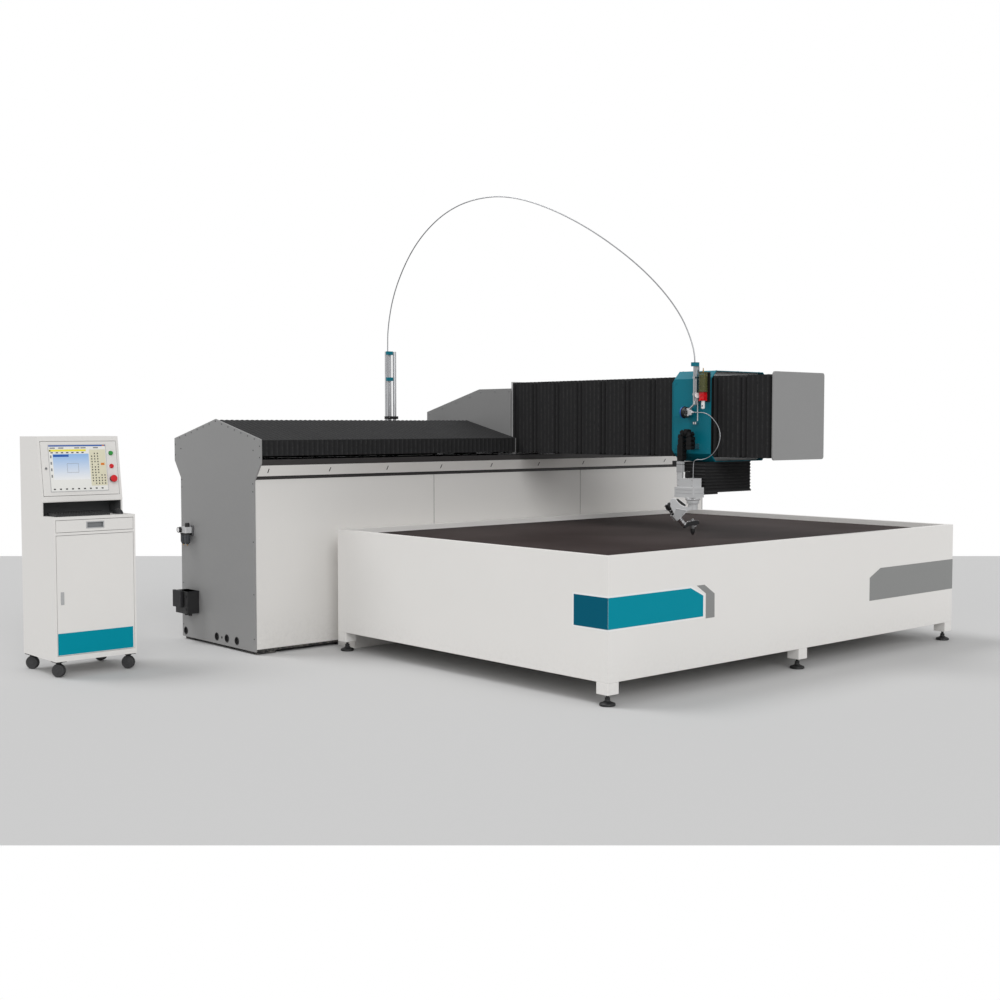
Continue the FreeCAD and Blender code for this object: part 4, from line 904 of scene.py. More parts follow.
def stripMaterial():
    material = paint("coverStrip", rgb(232, 230, 227), 0.4, 0.02, 0.0)
    tree = material.node_tree
    shader = tree.nodes["Principled BSDF"]
    group = [n for n in tree.nodes if n.type == "GROUP"][0]
    split = tree.nodes.new("ShaderNodeSeparateXYZ")
    tree.links.new(tree.nodes.new("ShaderNodeTexCoord").outputs["Object"], split.inputs[0])
    above = mathNode(tree, "GREATER_THAN", split.outputs["Z"], strip["high"])
    below = mathNode(tree, "LESS_THAN", split.outputs["Z"], strip["low"])
    dark = mathNode(tree, "ADD", above, below, True)
    tree.links.new(mixColour(tree, dark, group.outputs["Colour"], rgb(52, 50, 50)),
                   shader.inputs["Base Color"])
    return material


softCopy("rail_covers", stripMaterial(), 0.0008)
slots = {"first": -0.506, "pitch": 0.560, "count": 10, "half": 0.0045, "length": 0.040, "offset": 0.6129,
         "z": 1.3975, "lean": (0.549, 0.836)}


def drainSlots():
    bm = bmesh.new()
    h, l = slots["half"], slots["length"] / 2
    arc = [math.pi * i / 8 for i in range(9)]
    outline = [(h * math.cos(a), l - h + h * math.sin(a))
               for a in arc] + [(-h * math.cos(a), h - l - h * math.sin(a)) for a in arc]
    up, out = slots["lean"][1], slots["lean"][0]
    for k in range(slots["count"]):
        x = slots["first"] + k * slots["pitch"]
        for side in (-1, 1):
            place = (x, housingMiddle + side * (slots["offset"] - 0.0028 * up), slots["z"] + 0.0028 * out)
            addPrism(bm, outline, place, (-side, 0, 0), (0, side * out, up), 0.0031)
    return newPiece("drainSlots", bm, [blackPlastic])


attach(drainSlots(), "machine")


def alongEdge(start, end, pitch):
    start, end = Vector(start), Vector(end)
    count = max(1, round((end - start).length / pitch))
    return [start.lerp(end, i / count) for i in range(count + 1)]


def endPlateScrews():
    places = []
    for x, way in ((housing["near"], -1), (housing["far"], 1)):
        spots = [(0.0, 1.772)] + [(side * y, 1.772 - y * 0.2352) for side in (-1, 1)
                                  for y in (0.095, 0.190, 0.285, 0.380, 0.475, 0.570)]
        spots += [(side * 0.643, z) for side in (-1, 1) for z in (1.585, 1.500)]
        spots += [(side * 0.552, 1.552) for side in (-1, 1)] + [(side * 0.543, z) for side in (-1, 1)
                                                                for z in (1.300, 1.240, 0.860, 0.460, 0.120)]
        places += [((x, housingMiddle + y, z), (way, 0, 0)) for y, z in spots]
    return places


screwTemplate = screwShape(screws)
scatter("endPlateScrews", "machine", endPlateScrews(), screwTemplate, darkScrew, 0.8)


panels = {"start": -0.588, "width": 1.7297, "count": 3}


def panelScrews():
    places = []
    for k in range(panels["count"]):
        x0 = panels["start"] + k * panels["width"]
        for x in (x0 + 0.03, x0 + panels["width"] - 0.035):
            for z in alongEdge((0, 0, 0.09), (0, 0, 1.29), 0.4):
                places.append(((x, housing["front"], z.z), (0, -1, 0)))
                places.append(((x, housing["rear"], z.z), (0, 1, 0)))
    return places


scatter("panelScrews", "machine", panelScrews(), screwTemplate, whitePowder, 0.7)


cableHoles = {"large": [(3.379, 0.078), (3.528, 0.080), (3.681, 0.078), (4.173, 0.070)], "small": (3.604, 0.079)}


def cableGrommets():
    bm = bmesh.new()
    for y, z in cableHoles["large"]:
        addTurned(bm, [(0.0255, 0.010), (0.0255, -0.002), (0.031, -0.002), (0.033, 0.0002), (0.0255, 0.010)],
                  (housing["near"], y, z), (1, 0, 0), 0, 28)
        addTurned(bm, [(0, 0.0119), (0.0265, 0.0119), (0.0265, 0.0115), (0, 0.0115)], (housing["near"], y, z),
                  (1, 0, 0), 0, 28)
    addTurned(bm, [(0, -0.0008), (0.007, -0.0008), (0.009, -0.0016), (0.0105, 0.0002), (0, 0.0002)],
              (housing["near"], *cableHoles["small"]), (1, 0, 0), 0, 20)
    return newPiece("cableGrommets", bm, [blackPlastic])


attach(cableGrommets(), "machine")

unit = {"x": -0.600, "y": 4.086, "z": 0.8665}
junction = {"x": (-0.710, -0.600), "y": (3.950, 4.140), "z": (0.233, 0.413)}


def unitRule(p, n):
    x, y, z = p.x - unit["x"], p.y - unit["y"], p.z - unit["z"]
    if z < 0.0095 and x < -0.016:
        return 1
    if z > 0.0585 and x < -0.016 or x < -0.0702:
        return 2
    return 3 if x > -0.0145 else 0


softCopy("air_unit", [castSilver, smokedPlastic, blackPlastic, screwSteel], 0.0012, rule=unitRule)
softCopy("junction_box", [blackPlastic, darkPowder], 0.0015, rule=lambda p, n: 1 if p.x < -0.7101 else 0)


def unitFittings():
    bm = bmesh.new()
    x, y, z = unit["x"], unit["y"], unit["z"]
    addTurned(bm, [(0, 0.0004), (0.0185, 0.0004), (0.0185, 0), (0, 0)], (x - 0.0921, y + 0.026, z + 0.034),
              (-1, 0, 0), 0, 32)
    addTurned(bm, [(0.0185, 0), (0.0185, 0.0016), (0.0205, 0.003), (0.022, 0.0016), (0.022, 0)],
              (x - 0.0921, y + 0.026, z + 0.034), (-1, 0, 0), 1, 32)
    for shift in (-0.030, 0.030):
        addTurned(bm, [(0.0242, 0), (0.0262, 0.001), (0.0262, 0.011), (0.0242, 0.012)],
                  (x - 0.042, y + shift, z - 0.004), (0, 0, 1), 1, 32)
        addRod(bm, (x - 0.042, y + shift, z - 0.082), (0, 0, -1), 0.005, 0.010, 2, 12)
    addRod(bm, (x - 0.042, y + 0.082, z + 0.034), (0, 1, 0), 0.0075, 0.014, 2, 6)
    return newPiece("airUnitFittings", bm, [whiteFilm, blackPlastic, brass])


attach(unitFittings(), "machine")


def junctionParts():
    bm = bmesh.new()
    (x0, x1), (y0, y1), (z0, z1) = junction["x"], junction["y"], junction["z"]
    for z in (z0 + 0.030, z0 + 0.130):
        addBox(bm, (x0 - 0.006, y0 + 0.008, z), (x0, y0 + 0.026, z + 0.022))
    for y in (y0 + 0.050, y0 + 0.110):
        addRod(bm, (x1 - 0.055, y, z0 - 0.020), (0, 0, 1), 0.0165, 0.012, 0, 6)
    addBox(bm, (x0 + 0.004, y0 - 0.003, z1 - 0.004), (x1 - 0.002, y1 + 0.003, z1 + 0.002))
    return softenEdges(newPiece("junctionLatches", bm, [darkPowder]), 0.0012)


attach(junctionParts(), "machine")
print("housing dressed")


# saddle and beam

saddle = {"x": (1.973, 2.667), "rear": 4.215}


def saddleScrews():
    places = []
    for x, way in zip(saddle["x"], (-1, 1)):
        for p in alongEdge((x, 3.095, 2.035), (x, 3.47, 2.035), 0.19):
            places.append((p, (way, 0, 0)))
        for p in alongEdge((x, 3.62, 1.995), (x, 4.21, 1.845), 0.2):
            places.append((p, (way, 0, 0)))
        for z in (1.56, 1.72):
            places.append(((x, saddle["rear"], z), (way, 0, 0)))
    return places


scatter("saddleScrews", "gantry", saddleScrews(), screwTemplate, screwSteel, 0.9)
softCopy("carriage_ring", tealPowder, 0.0015)


ring = {"x": (1.975, 2.665), "y": (0.855, 1.18), "top": 2.153}


def ringScrews():
    places = []
    for z in alongEdge((0, 0, 1.56), (0, 0, 2.06), 0.25):
        for y in ring["y"]:
            places += [((x, y, z.z), (way, 0, 0)) for x, way in zip(ring["x"], (-1, 1))]
    for x in alongEdge((2.06, 0, 0), (2.58, 0, 0), 0.26):
        places += [((x.x, y, ring["top"]), (0, 0, 1)) for y in ring["y"]]
    return places


scatter("ringScrews", "carriage", ringScrews(), screwTemplate, tealPowder, 0.9)
wiper = {"x": (1.980, 2.660), "z": (1.470, 2.148), "corner": 0.060, "holeX": (2.012, 2.628),
         "holeZ": (1.497, 2.115)}


def wiperPlates():
    (x0, x1), (z0, z1), c = wiper["x"], wiper["z"], wiper["corner"]
    (hx0, hx1), (hz0, hz1) = wiper["holeX"], wiper["holeZ"]
    outer = [(x0 + c, z0), (x1 - c, z0), (x1, z0 + c), (x1, z1 - c), (x1 - c, z1), (x0 + c, z1), (x0, z1 - c),
             (x0, z0 + c)]
    inner = [(hx0, hz0), (hx1, hz0), (hx1, hz0), (hx1, hz1), (hx1, hz1), (hx0, hz1), (hx0, hz1), (hx0, hz0)]
    bm = bmesh.new()
    for y, way in ((0.8838, -1), (1.1922, 1)):
        for i in range(8):
            j = (i + 1) % 8
            corners = list(dict.fromkeys([outer[i], outer[j], inner[j], inner[i]]))
            addPrism(bm, [(x, z) for x, z in corners], (0, y, 0), (1, 0, 0), (0, 0, 1), 0.001)
    return newPiece("wiperPlates", bm, [palePowder])


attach(wiperPlates(), "carriage")
print("gantry dressed")


# fittings on the ring

jar = {"x": 1.930, "y": 0.873, "low": 1.990, "high": 2.140, "radius": 0.033}
swivel = {"x": 1.927, "y": 1.051, "z": 1.838}
gauge = {"stem": (1.944, 0.949, 1.966), "way": (-0.6712, -0.7413, 0.0), "reach": 0.042, "radius": 0.018}


def hopperRule(p, n):
    away = math.hypot(p.x - jar["x"], p.y - jar["y"])
    if away < 0.037 and p.z > jar["low"] + 0.0095 and p.z < jar["high"] - 0.0095:
        return 0
    if away < 0.037 and p.z > jar["low"] - 0.0005:
        return 1
    if p.z < 1.9245 and away < 0.016:
        return 3
    return 2 if away < 0.031 else 4


softCopy("abrasive_hopper", [jarPlastic, jarFill, redPlastic, whiteFilm, darkPowder], 0.0008, rule=hopperRule)


def hopperParts():
    bm = bmesh.new()
    x, y = jar["x"], jar["y"]
    addTurned(bm, [(0, 2.001), (0.0295, 2.001), (0.030, 2.004), (0.030, 2.112), (0.024, 2.119), (0, 2.1195)],
              (x, y, 0), (0, 0, 1), 0, 32)
    addRod(bm, (x - 0.014, y - 0.024, 2.088), (0, 0, 1), 0.0028, 0.049, 1, 12)
    addTurned(bm, [(0, 2.1402), (0.007, 2.1402), (0.007, 2.146), (0.0045, 2.148), (0.0045, 2.157),
                   (0.003, 2.158), (0.003, 2.170), (0, 2.170)],
              (x, y, 0), (0, 0, 1), 1, 16)
    addTurned(bm, [(0, 0), (0.005, 0), (0.0055, 0.001), (0.0055, 0.003), (0, 0.003)],
              (x - 0.013, y - 0.0045, 1.886), (-0.94, -0.34, 0), 2, 20)
    addRod(bm, (x - 0.021, y - 0.003, 1.936), (-0.75, 0.2, -0.35), 0.006, 0.026, 3, 16)
    addRod(bm, (x - 0.021, y, 1.966), (-1, 0, 0), 0.009, 0.007, 3, 6)
    addRod(bm, (x, y - 0.021, 1.957), (0, -1, 0), 0.011, 0.005, 3, 6)
    for py, pz in ((0.847, 2.130), (0.886, 2.130), (0.847, 1.924)):
        addRod(bm, (1.9668, py, pz), (-1, 0, 0), 0.005, 0.006, 2, 12)
    for z in (2.030, 2.100):
        addTurned(bm, [(0.0332, 0), (0.0345, 0.0004), (0.0345, 0.0046), (0.0332, 0.005)], (x, y, z),
                  (0, 0, 1), 0, 32)
    return newPiece("hopperParts", bm, [jarFill, brass, blackPlastic, redPlastic])


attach(hopperParts(), "carriage")


def swivelRule(p, n):
    away = math.hypot(p.x - swivel["x"], p.z - swivel["z"])
    if p.y > swivel["y"] - 0.0002 and p.x < 1.9162 or p.y > 1.0505 and away > 0.040:
        return 1
    if swivel["y"] - 0.0262 < p.y < swivel["y"] + 0.0002:
        return 2
    return 0


softCopy("swivel_fitting", [polishedSteel, bluePlastic, blackPlastic], 0.0012, rule=swivelRule)


def profileRule(p, n):
    if p.z > 2.1845:
        return 1
    away = (Vector((p.x, p.y, 0)) - Vector((gauge["stem"][0], gauge["stem"][1], 0))).length
    return 2 if abs(p.z - gauge["stem"][2]) < 0.019 and away > 0.027 and p.x < 1.935 and p.y < 0.938 else 0


softCopy("tube_profile", [satinAluminium, tealPowder, polishedSteel], 0.0008, rule=profileRule)


def mastRule(p, n):
    onClamp = 2.386 < p.z < 2.421 or 2.146 < p.z < 2.181
    return 1 if p.y < 4.3685 and p.x < 1.66 and onClamp else 0


softCopy("tube_mast", [mastAluminium, tealPowder], 0.0008, rule=mastRule)


def ringFittings():
    bm = bmesh.new()
    stem, way = Vector(gauge["stem"]), Vector(gauge["way"])
    face = stem + way * gauge["reach"]
    addTurned(bm, [(0, 0.0006), (0.0195, 0.0006), (0.0195, 0), (0, 0)], face, way, 0, 32)
    addTurned(bm, [(0.0193, -0.006), (0.0193, 0.0016), (0.0208, 0.0028), (0.022, 0.0016), (0.022, -0.006)],
              face, way, 1, 32)
    side = way.cross(Vector((0, 0, 1)))
    addPrism(bm, [(-0.0006, -0.003), (0.0006, -0.003), (0.0004, 0.011), (-0.0004, 0.011)],
             face + way * 0.0007, side + Vector((0, 0, 0.6)),
             Vector((0, 0, 1)) - side * 0.6, 0.0004, 2)
    for z in (1.975, 2.100, 2.150):
        addRod(bm, (1.958, 0.9462, z), (0, -1, 0), 0.0055, 0.004, 3, 12)
    addBox(bm, (1.936, 0.948, 1.750), (1.975, 0.964, 1.764), 1)
    for y in (0.947, 0.965):
        addTurned(bm, [(0, 0), (0.007, 0), (0.008, 0.002), (0.008, 0.018), (0.006, 0.020), (0, 0.020)],
                  (1.934, y, 1.747), (0, 0, 1), 1, 16)
    for a in range(6):
        b = math.radians(60 * a + 30)
        addRod(bm, (swivel["x"] + 0.035 * math.cos(b), 1.0252, swivel["z"] + 0.035 * math.sin(b)), (0, -1, 0),
               0.0032, 0.003, 1, 10)
    addRod(bm, (1.927, 0.9722, 1.838), (0, -1, 0), 0.0085, 0.010, 1, 6)
    addRod(bm, (1.9412, 0.985, 1.838), (1, 0, 0), 0.007, 0.008, 1, 6)
    addRod(bm, (1.927, 1.010, 1.8652), (0, 0, 1), 0.0075, 0.006, 1, 6)
    return newPiece("ringFittings", bm, [whiteFilm, polishedSteel, blackPlastic, darkPowder])


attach(ringFittings(), "carriage")


def mastFoot():
    bm = bmesh.new()
    outline = [(1.6045, 4.3615), (1.728, 4.3615), (1.728, 4.4118), (1.6045, 4.4118)]
    addPrism(bm, outline, (0, 0, 1.796), (1, 0, 0), (0, 1, 0), 0.026)
    for x in (1.618, 1.714):
        addRod(bm, (x, 4.3616, 1.809), (0, -1, 0), 0.006, 0.005, 1, 6)
    return softenEdges(newPiece("mastFootClamp", bm, [darkPowder, screwSteel]), 0.0015)


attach(mastFoot(), "machine")

chain = {"x": (1.876, 1.926), "front": 0.9665, "rear": 1.0495, "bendZ": 1.646, "bendY": 1.008, "bend": 0.0415,
         "frontLow": 1.556, "rearLow": 1.474, "pitch": 0.0305, "deep": 0.0235}


def chainLink():
    bm = bmesh.new()
    half, long, deep = (chain["x"][1] - chain["x"][0]) / 2 - 0.0003, chain["pitch"] * 0.58, chain["deep"]
    for side in (-1, 1):
        x0, x1 = sorted((side * half, side * (half - 0.007)))
        outline = [(-long * 0.75, -deep), (long * 0.75, -deep), (long, -deep * 0.5), (long, deep * 0.5),
                   (long * 0.75, deep), (-long * 0.75, deep), (-long, deep * 0.5), (-long, -deep * 0.5)]
        base = [(x0, b, a) for a, b in outline]
        top = [(x1, b, a) for a, b in outline]
        n = len(outline)
        addFaces(bm, base + top, [tuple(range(n)), tuple(reversed(range(n, 2 * n)))]
                 + [(i, (i + 1) % n, n + (i + 1) % n, n + i) for i in range(n)])
    for side in (-1, 1):
        y0, y1 = sorted((side * deep, side * (deep - 0.004)))
        addBox(bm, (-half + 0.005, y0, -long * 0.45), (half - 0.005, y1, long * 0.30))
    return shapeObject("chainLink", bm)


def chainPath():
    points = [(1.901, chain["rear"], chain["rearLow"] + 0.0175)]
    for i in range(33):
        a = math.pi * i / 32
        points.append((1.901, chain["bendY"] + chain["bend"] * math.cos(a), chain["bendZ"]
                       + chain["bend"] * math.sin(a)))
    points.append((1.901, chain["front"], chain["frontLow"] + 0.0175))
    mesh = bpy.data.meshes.new("cableChainLinks")
    mesh.from_pydata([Vector(p) + tankCorner for p in points], [(i, i + 1) for i in range(len(points) - 1)],
                     [])
    piece = bpy.data.objects.new("cableChainLinks", mesh)
    bpy.context.scene.collection.objects.link(piece)
    return piece


linkShape = chainLink()
links = runTree(chainPath(), linkTree, {"Shape": linkShape, "Finish": chainPlastic, "Pitch": chain["pitch"]})
bpy.data.objects.remove(linkShape)
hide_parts("cable_chain")
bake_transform(links)
print("fittings made")


# head

head = {"tip": (1.848, 0.894, 0.915), "turn": 150.0, "tilt": 49.0}
# the head's own axes: nozzle tip at the origin, x along the arm
tipPlace = Matrix.Translation(Vector(head["tip"])) @ Matrix.Rotation(math.radians(head["turn"]), 4, "Z")
# the slanted axis on which tilt motor and bracket sit
tiltWay = Vector((math.cos(math.radians(head["tilt"])), 0, math.sin(math.radians(head["tilt"]))))
tiltUp = Vector((-tiltWay.z, 0, tiltWay.x))


def local(p):
    return tipPlace.inverted() @ p


def bracketRule(p, n):
    q = local(p)
    along = q.dot(tiltWay)
    return 1 if along > 0.108 and (q - tiltWay * along).length < 0.0287 else 0


def nozzleRule(p, n):
    q = local(p)
    if q.z < 0.009:
        return 0
    return 1 if q.z < 0.0495 else 2 if q.z < 0.1165 else 0


def blockRule(p, n):
    if p.z > 1.3445 and p.y > 0.9655 and p.x < 1.8265:
        return 1
    return 2 if p.z > 1.3445 and 0.9445 < p.y < 0.9755 else 0


softCopy("head_block", [castSilver, gearGrey, darkPowder, castEdgeHighlight], 0.0045, 3, rule=blockRule, litEdges=True)
softCopy("rotor_arm", [castSilver, castEdgeHighlight], 0.0025, 3, litEdges=True)
softCopy("tilt_motor", blackPlastic, 0.002)
softCopy("tilt_bracket", [darkPowder, polishedSteel], 0.0018, rule=bracketRule)
softCopy("cutting_head", [polishedSteel, blackPlastic, screwSteel], 0.0006, rule=nozzleRule)
softCopy("lift_slide", darkPowder, 0.0012)


def headDetails():
    bm = bmesh.new()
    for z in (1.2300, 1.2560):
        addBox(bm, (1.7922, 0.856, z), (1.7932, 1.020, z + 0.0028), 2)
        addBox(bm, (1.806, 0.8422, z), (1.905, 0.8432, z + 0.0028), 2)
    addTurned(bm, [(0, 0), (0.0085, 0), (0.0085, 0.006), (0.0070, 0.008), (0.0070, 0.034), (0.0080, 0.036),
                   (0.0080, 0.044), (0.006, 0.048), (0, 0.048)],
              (1.8175, 0.9570, 1.3428), (0, 0, 1), 1, 20)
    addTurned(bm, [(0.047, 0), (0.0482, 0.0006), (0.0482, 0.0026), (0.047, 0.0032)], (1.848, 0.894, 1.1590),
              (0, 0, 1), 2, 40)
    addTurned(bm, [(0.0565, 0), (0.0578, 0.0006), (0.0578, 0.0030), (0.0565, 0.0036)], (1.848, 0.894, 1.1845),
              (0, 0, 1), 3, 40)
    addTurned(bm, [(0, 0.001), (0.0065, 0.001), (0.0075, 0.004), (0.005, 0.009), (0.0032, 0.010), (0, 0.010)],
              (1.848, 0.894, 1.3425), (0, 0, 1), 3, 6)
    piece = newPiece("headBlockDetails", bm, [castSilver, whiteFilm, gearGrey, polishedSteel])
    return softenEdges(piece, 0.0006)


turnCase = {"x": (1.7975, 1.8290), "y": (0.9630, 1.0160), "z": (1.3885, 1.4450, 1.4480, 1.4680), "seam": 0.002}


def turnMotor():
    bm = bmesh.new()
    (x0, x1), (y0, y1), (z0, z1, z2, z3) = turnCase["x"], turnCase["y"], turnCase["z"]
    s = turnCase["seam"]
    addBox(bm, (x0, y0, z0), (x1, y1, z1), 0)
    addBox(bm, (x0 + s, y0 + s, z1), (x1 - s, y1 - s, z2), 1)
    addBox(bm, (x0, y0, z2), (x1, y1, z3), 0)
    addBox(bm, (1.8285, 0.9700, 1.4180), (1.8400, 0.9900, 1.4340), 1)
    return softenEdges(newPiece("turnMotorCase", bm, [gearGrey, blackPlastic]), 0.002, 3)


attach(turnMotor(), bodyOf["head_block"])
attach(headDetails(), bodyOf["head_block"])
scatter("headScrews", bodyOf["head_block"],
        [((x, y, 1.2752), (0, 0, 1)) for x, y in ((1.7985, 0.849), (1.7985, 1.026), (1.9105, 0.849))]
        + [((x, y, 1.3432), (0, 0, 1)) for x, y in ((1.808, 0.862), (1.888, 0.862), (1.888, 1.003))]
        + [((1.7998, y, z), (-1, 0, 0)) for y in (0.864, 1.000) for z in (1.288, 1.330)], screwTemplate,
        screwSteel, 0.55)


crescent = {"through": ((0.148, 0.276), (0.108, 0.231), (0.056, 0.212)), "steps": 24}


# the circle through three points of the arm's inner edge
def crescentArc(count):
    a, b, c = [Vector(point) for point in crescent["through"]]
    d = 2 * (a.x * (b.y - c.y) + b.x * (c.y - a.y) + c.x * (a.y - b.y))
    ux = (a.length_squared * (b.y - c.y) + b.length_squared * (c.y - a.y)
          + c.length_squared * (a.y - b.y)) / d
    uy = (a.length_squared * (c.x - b.x) + b.length_squared * (a.x - c.x)
          + c.length_squared * (b.x - a.x)) / d
    centre = Vector((ux, uy))
    start, end = (a - centre), (c - centre)
    first, last = math.atan2(start.y, start.x), math.atan2(end.y, end.x)
    return [(centre, start.length, first + (last - first) * i / count) for i in range(count + 1)]


# the black slab is painted shade that fills the shaded hollow of the arm; the near-white rims beside it are
# painted highlights
def crescentWeb():
    arc = [(c.x + r * math.cos(a), c.y + r * math.sin(a)) for c, r, a in crescentArc(crescent["steps"])]
    inner = [p for p in arc if p[0] > 0.064]
    bm = bmesh.new()
    addPrism(bm, [(0.116, 0.2755), (0.066, 0.2390)] + list(reversed(inner)), (0, 0.024, 0), (1, 0, 0),
             (0, 0, 1), 0.014, 1)
    addPrism(bm, [(0.1245, 0.2762), (0.116, 0.2762), (0.0645, 0.2390), (0.0645, 0.2310)], (0, 0.0285, 0),
             (1, 0, 0), (0, 0, 1), 0.019, 0)
    lifted = [(x - 0.0035, z + 0.0040) for x, z in inner]
    addPrism(bm, inner + list(reversed(lifted)), (0, 0.0290, 0), (1, 0, 0), (0, 0, 1), 0.056, 0)
    return newPiece("crescentWeb", bm, [castEdgeHighlight, blackPlastic], tipPlace)


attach(crescentWeb(), bodyOf["rotor_arm"])


# the thin strip along the gear cover's top edge takes the near-white finish, a painted highlight
gear = {"outline": [(0.062, 0.1885), (0.092, 0.1525), (0.1345, 0.1130), (0.1655, 0.1475), (0.1435, 0.2035)],
        "line": [(0.058, 0.1885), (0.1435, 0.2045), (0.1428, 0.2080), (0.0573, 0.1920)],
        "sides": (0.0318, -0.0292), "deep": 0.0026, "proud": 0.0004}


def gearCover():
    bm = bmesh.new()
    for y in gear["sides"]:
        addPrism(bm, gear["outline"], (0, y, 0), (1, 0, 0), (0, 0, 1), gear["deep"], 0)
        addPrism(bm, gear["line"], (0, y + math.copysign(gear["proud"], y), 0), (1, 0, 0), (0, 0, 1),
                 gear["deep"], 1)
    return softenEdges(newPiece("gearCovers", bm, [gearGrey, castEdgeHighlight], tipPlace), 0.0008)


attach(gearCover(), bodyOf["rotor_arm"])
coverSpots = [(0.094, 0.160), (0.134, 0.121), (0.157, 0.148), (0.139, 0.196), (0.074, 0.184)]
turned = tipPlace.to_3x3()
coverScrews = [(tipPlace @ Vector((x, side * 0.0318, z)), tuple(turned @ Vector((0, side, 0))))
               for x, z in coverSpots for side in (-1, 1)]
scatter("gearCoverScrews", bodyOf["rotor_arm"], coverScrews, screwTemplate, screwSteel, 0.5)


def motorDetails():
    bm = bmesh.new()
    addTurned(bm, [(0, 0.003), (0.011, 0.003), (0.013, 0.001), (0.0205, 0.001), (0.0215, 0), (0, 0)],
              tiltWay * 0.3098, tiltWay, 0, 32)
    addTurned(bm, [(0, 0.002), (0.006, 0.002), (0.007, 0.0), (0, 0)], tiltWay * 0.3128, tiltWay, 1, 20)
    for s in (0.238, 0.262):
        addTurned(bm, [(0.0238, 0), (0.0246, 0.0006), (0.0246, 0.0018), (0.0238, 0.0024)], tiltWay * s,
                  tiltWay, 1, 32)
    addTurned(bm, [(0, 0), (0.0085, 0), (0.0095, 0.002), (0.0095, 0.006), (0, 0.007)],
              tiltWay * 0.284 - tiltUp * 0.0315, -tiltUp, 1, 16)
    return newPiece("motorDetails", bm, [darkPowder, whiteFilm], tipPlace)


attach(motorDetails(), bodyOf["tilt_motor"])


def outputDetails():
    bm = bmesh.new()
    for s, r in ((0.1585, 0.0203), (0.146, 0.0203), (0.118, 0.0203)):
        addTurned(bm, [(r - 0.001, 0), (r + 0.0012, 0.0006), (r + 0.0012, 0.0030), (r - 0.001, 0.0036)],
                  tiltWay * s, tiltWay, 0, 32)
    for a in range(6):
        b = math.radians(60 * a)
        side = Vector((0, 1, 0)) * math.cos(b) + tiltUp * math.sin(b)
        addRod(bm, tiltWay * 0.1636 + side * 0.0242, -tiltWay, 0.0022, 0.0022, 0, 10)
    addRod(bm, tiltWay * 0.128 + Vector((0, 0.0195, 0)), Vector((0, 1, 0)), 0.006, 0.005, 1, 6)
    return newPiece("outputDetails", bm, [blackPlastic, polishedSteel], tipPlace)


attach(outputDetails(), bodyOf["tilt_bracket"])
feedLine = [(0.074, 0.0215, 0.083), (0.058, 0.0215, 0.100), (0.040, 0.0205, 0.1075),
            (0.012, 0.0200, 0.1115), (-0.016, 0.0195, 0.1145), (-0.036, 0.0170, 0.1130),
            (-0.044, 0.0060, 0.1060), (-0.038, -0.0020, 0.0960), (-0.030, 0.0, 0.0760), (-0.0275, 0.0, 0.0696)]
feed = smoothTube("abrasiveFeedLine", [tipPlace @ Vector(p) for p in feedLine], 0.0019, polishedSteel)
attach(feed, bodyOf["tilt_bracket"])
print("head dressed")


# console

consoleBox = {"front": 3.195, "x": (-2.131, -1.528), "slope": 8.08, "foot": (3.385, 1.212),
              "teal": (-2.123, -1.555, 0.157, 0.308)}
slopeTurn = Matrix.Rotation(math.radians(-consoleBox["slope"]), 4, "X")
slopePlace = Matrix.Translation(Vector((0, *consoleBox["foot"]))) @ slopeTurn
front = consoleBox["front"]
softCopy("console_cabinet", consolePowder, 0.002)
softCopy("console_door", [consolePowder, handleGrey], 0.0012,
         rule=lambda p, n: 1 if p.y < front - 0.0002 else 0)


def drawerRule(p, n):
    if p.y < front - 0.0002:
        return 1
    return 2 if -1.8881 < p.x < -1.7709 and front + 0.0003 < p.y < front + 0.0125 and 1.02 < p.z < 1.08 else 0


softCopy("console_drawer", [consolePowder, handleGrey, greyPlastic], None, rule=drawerRule)
softCopy("screen_panel", consolePowder, 0.0012)


def buttonRule(p, n):
    q = slopePlace.inverted() @ p
    if q.z < 0.18:
        return 3 if q.y > -0.0215 else 1
    if q.y > -0.0049:
        return 0
    return 2 if q.z > 0.285 else 1


softCopy("push_buttons", [whiteFilm, redPlastic, greenPlastic, blackPlastic], 0.001, rule=buttonRule)
castors = {"x": (-2.089, -1.570), "y": (3.247, 3.688), "radius": 0.0458, "axle": (0.80, 0.60, 0.0)}


def castorWheels():
    bm = bmesh.new()
    r, axle = castors["radius"], Vector(castors["axle"])
    for x in castors["x"]:
        for y in castors["y"]:
            middle = Vector((x, y, 0.046))
            addBox(bm, (x - 0.040, y - 0.040, 0.1055), (x + 0.040, y + 0.040, 0.1122), 1)
            addTurned(bm, [(0, 0.094), (0.019, 0.094), (0.023, 0.098), (0.026, 0.108), (0, 0.108)], (x, y, 0),
                      (0, 0, 1), 1, 24)
            for side in (-1, 1):
                start = middle + axle * side * 0.0035
                addTurned(bm, [(0, 0), (r - 0.003, 0), (r, 0.003), (r, 0.012), (r - 0.003, 0.0155),
                               (r - 0.008, 0.0165), (r - 0.010, 0.0145), (0.018, 0.0145), (0.015, 0.0175),
                               (0.006, 0.0175), (0, 0.0165)], start, axle * side, 0, 40)
            across = Vector((0, 0, 1)).cross(axle)
            cover = [(0.0485 * math.cos(a), 0.0485 * math.sin(a))
                     for a in [math.radians(20 + 10 * i) for i in range(15)]]
            cover = [p for p in cover if p[1] < 0.0605] + [(-0.030, 0.010), (0.030, 0.010)]
            addPrism(bm, cover, middle - axle * 0.003, across, (0, 0, 1), 0.006, 1)
    return softenEdges(newPiece("castorWheels", bm, [casterRubber, blackPlastic]), 0.0008)


wheels = castorWheels()
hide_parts("casters")
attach(wheels, bodyOf["casters"])


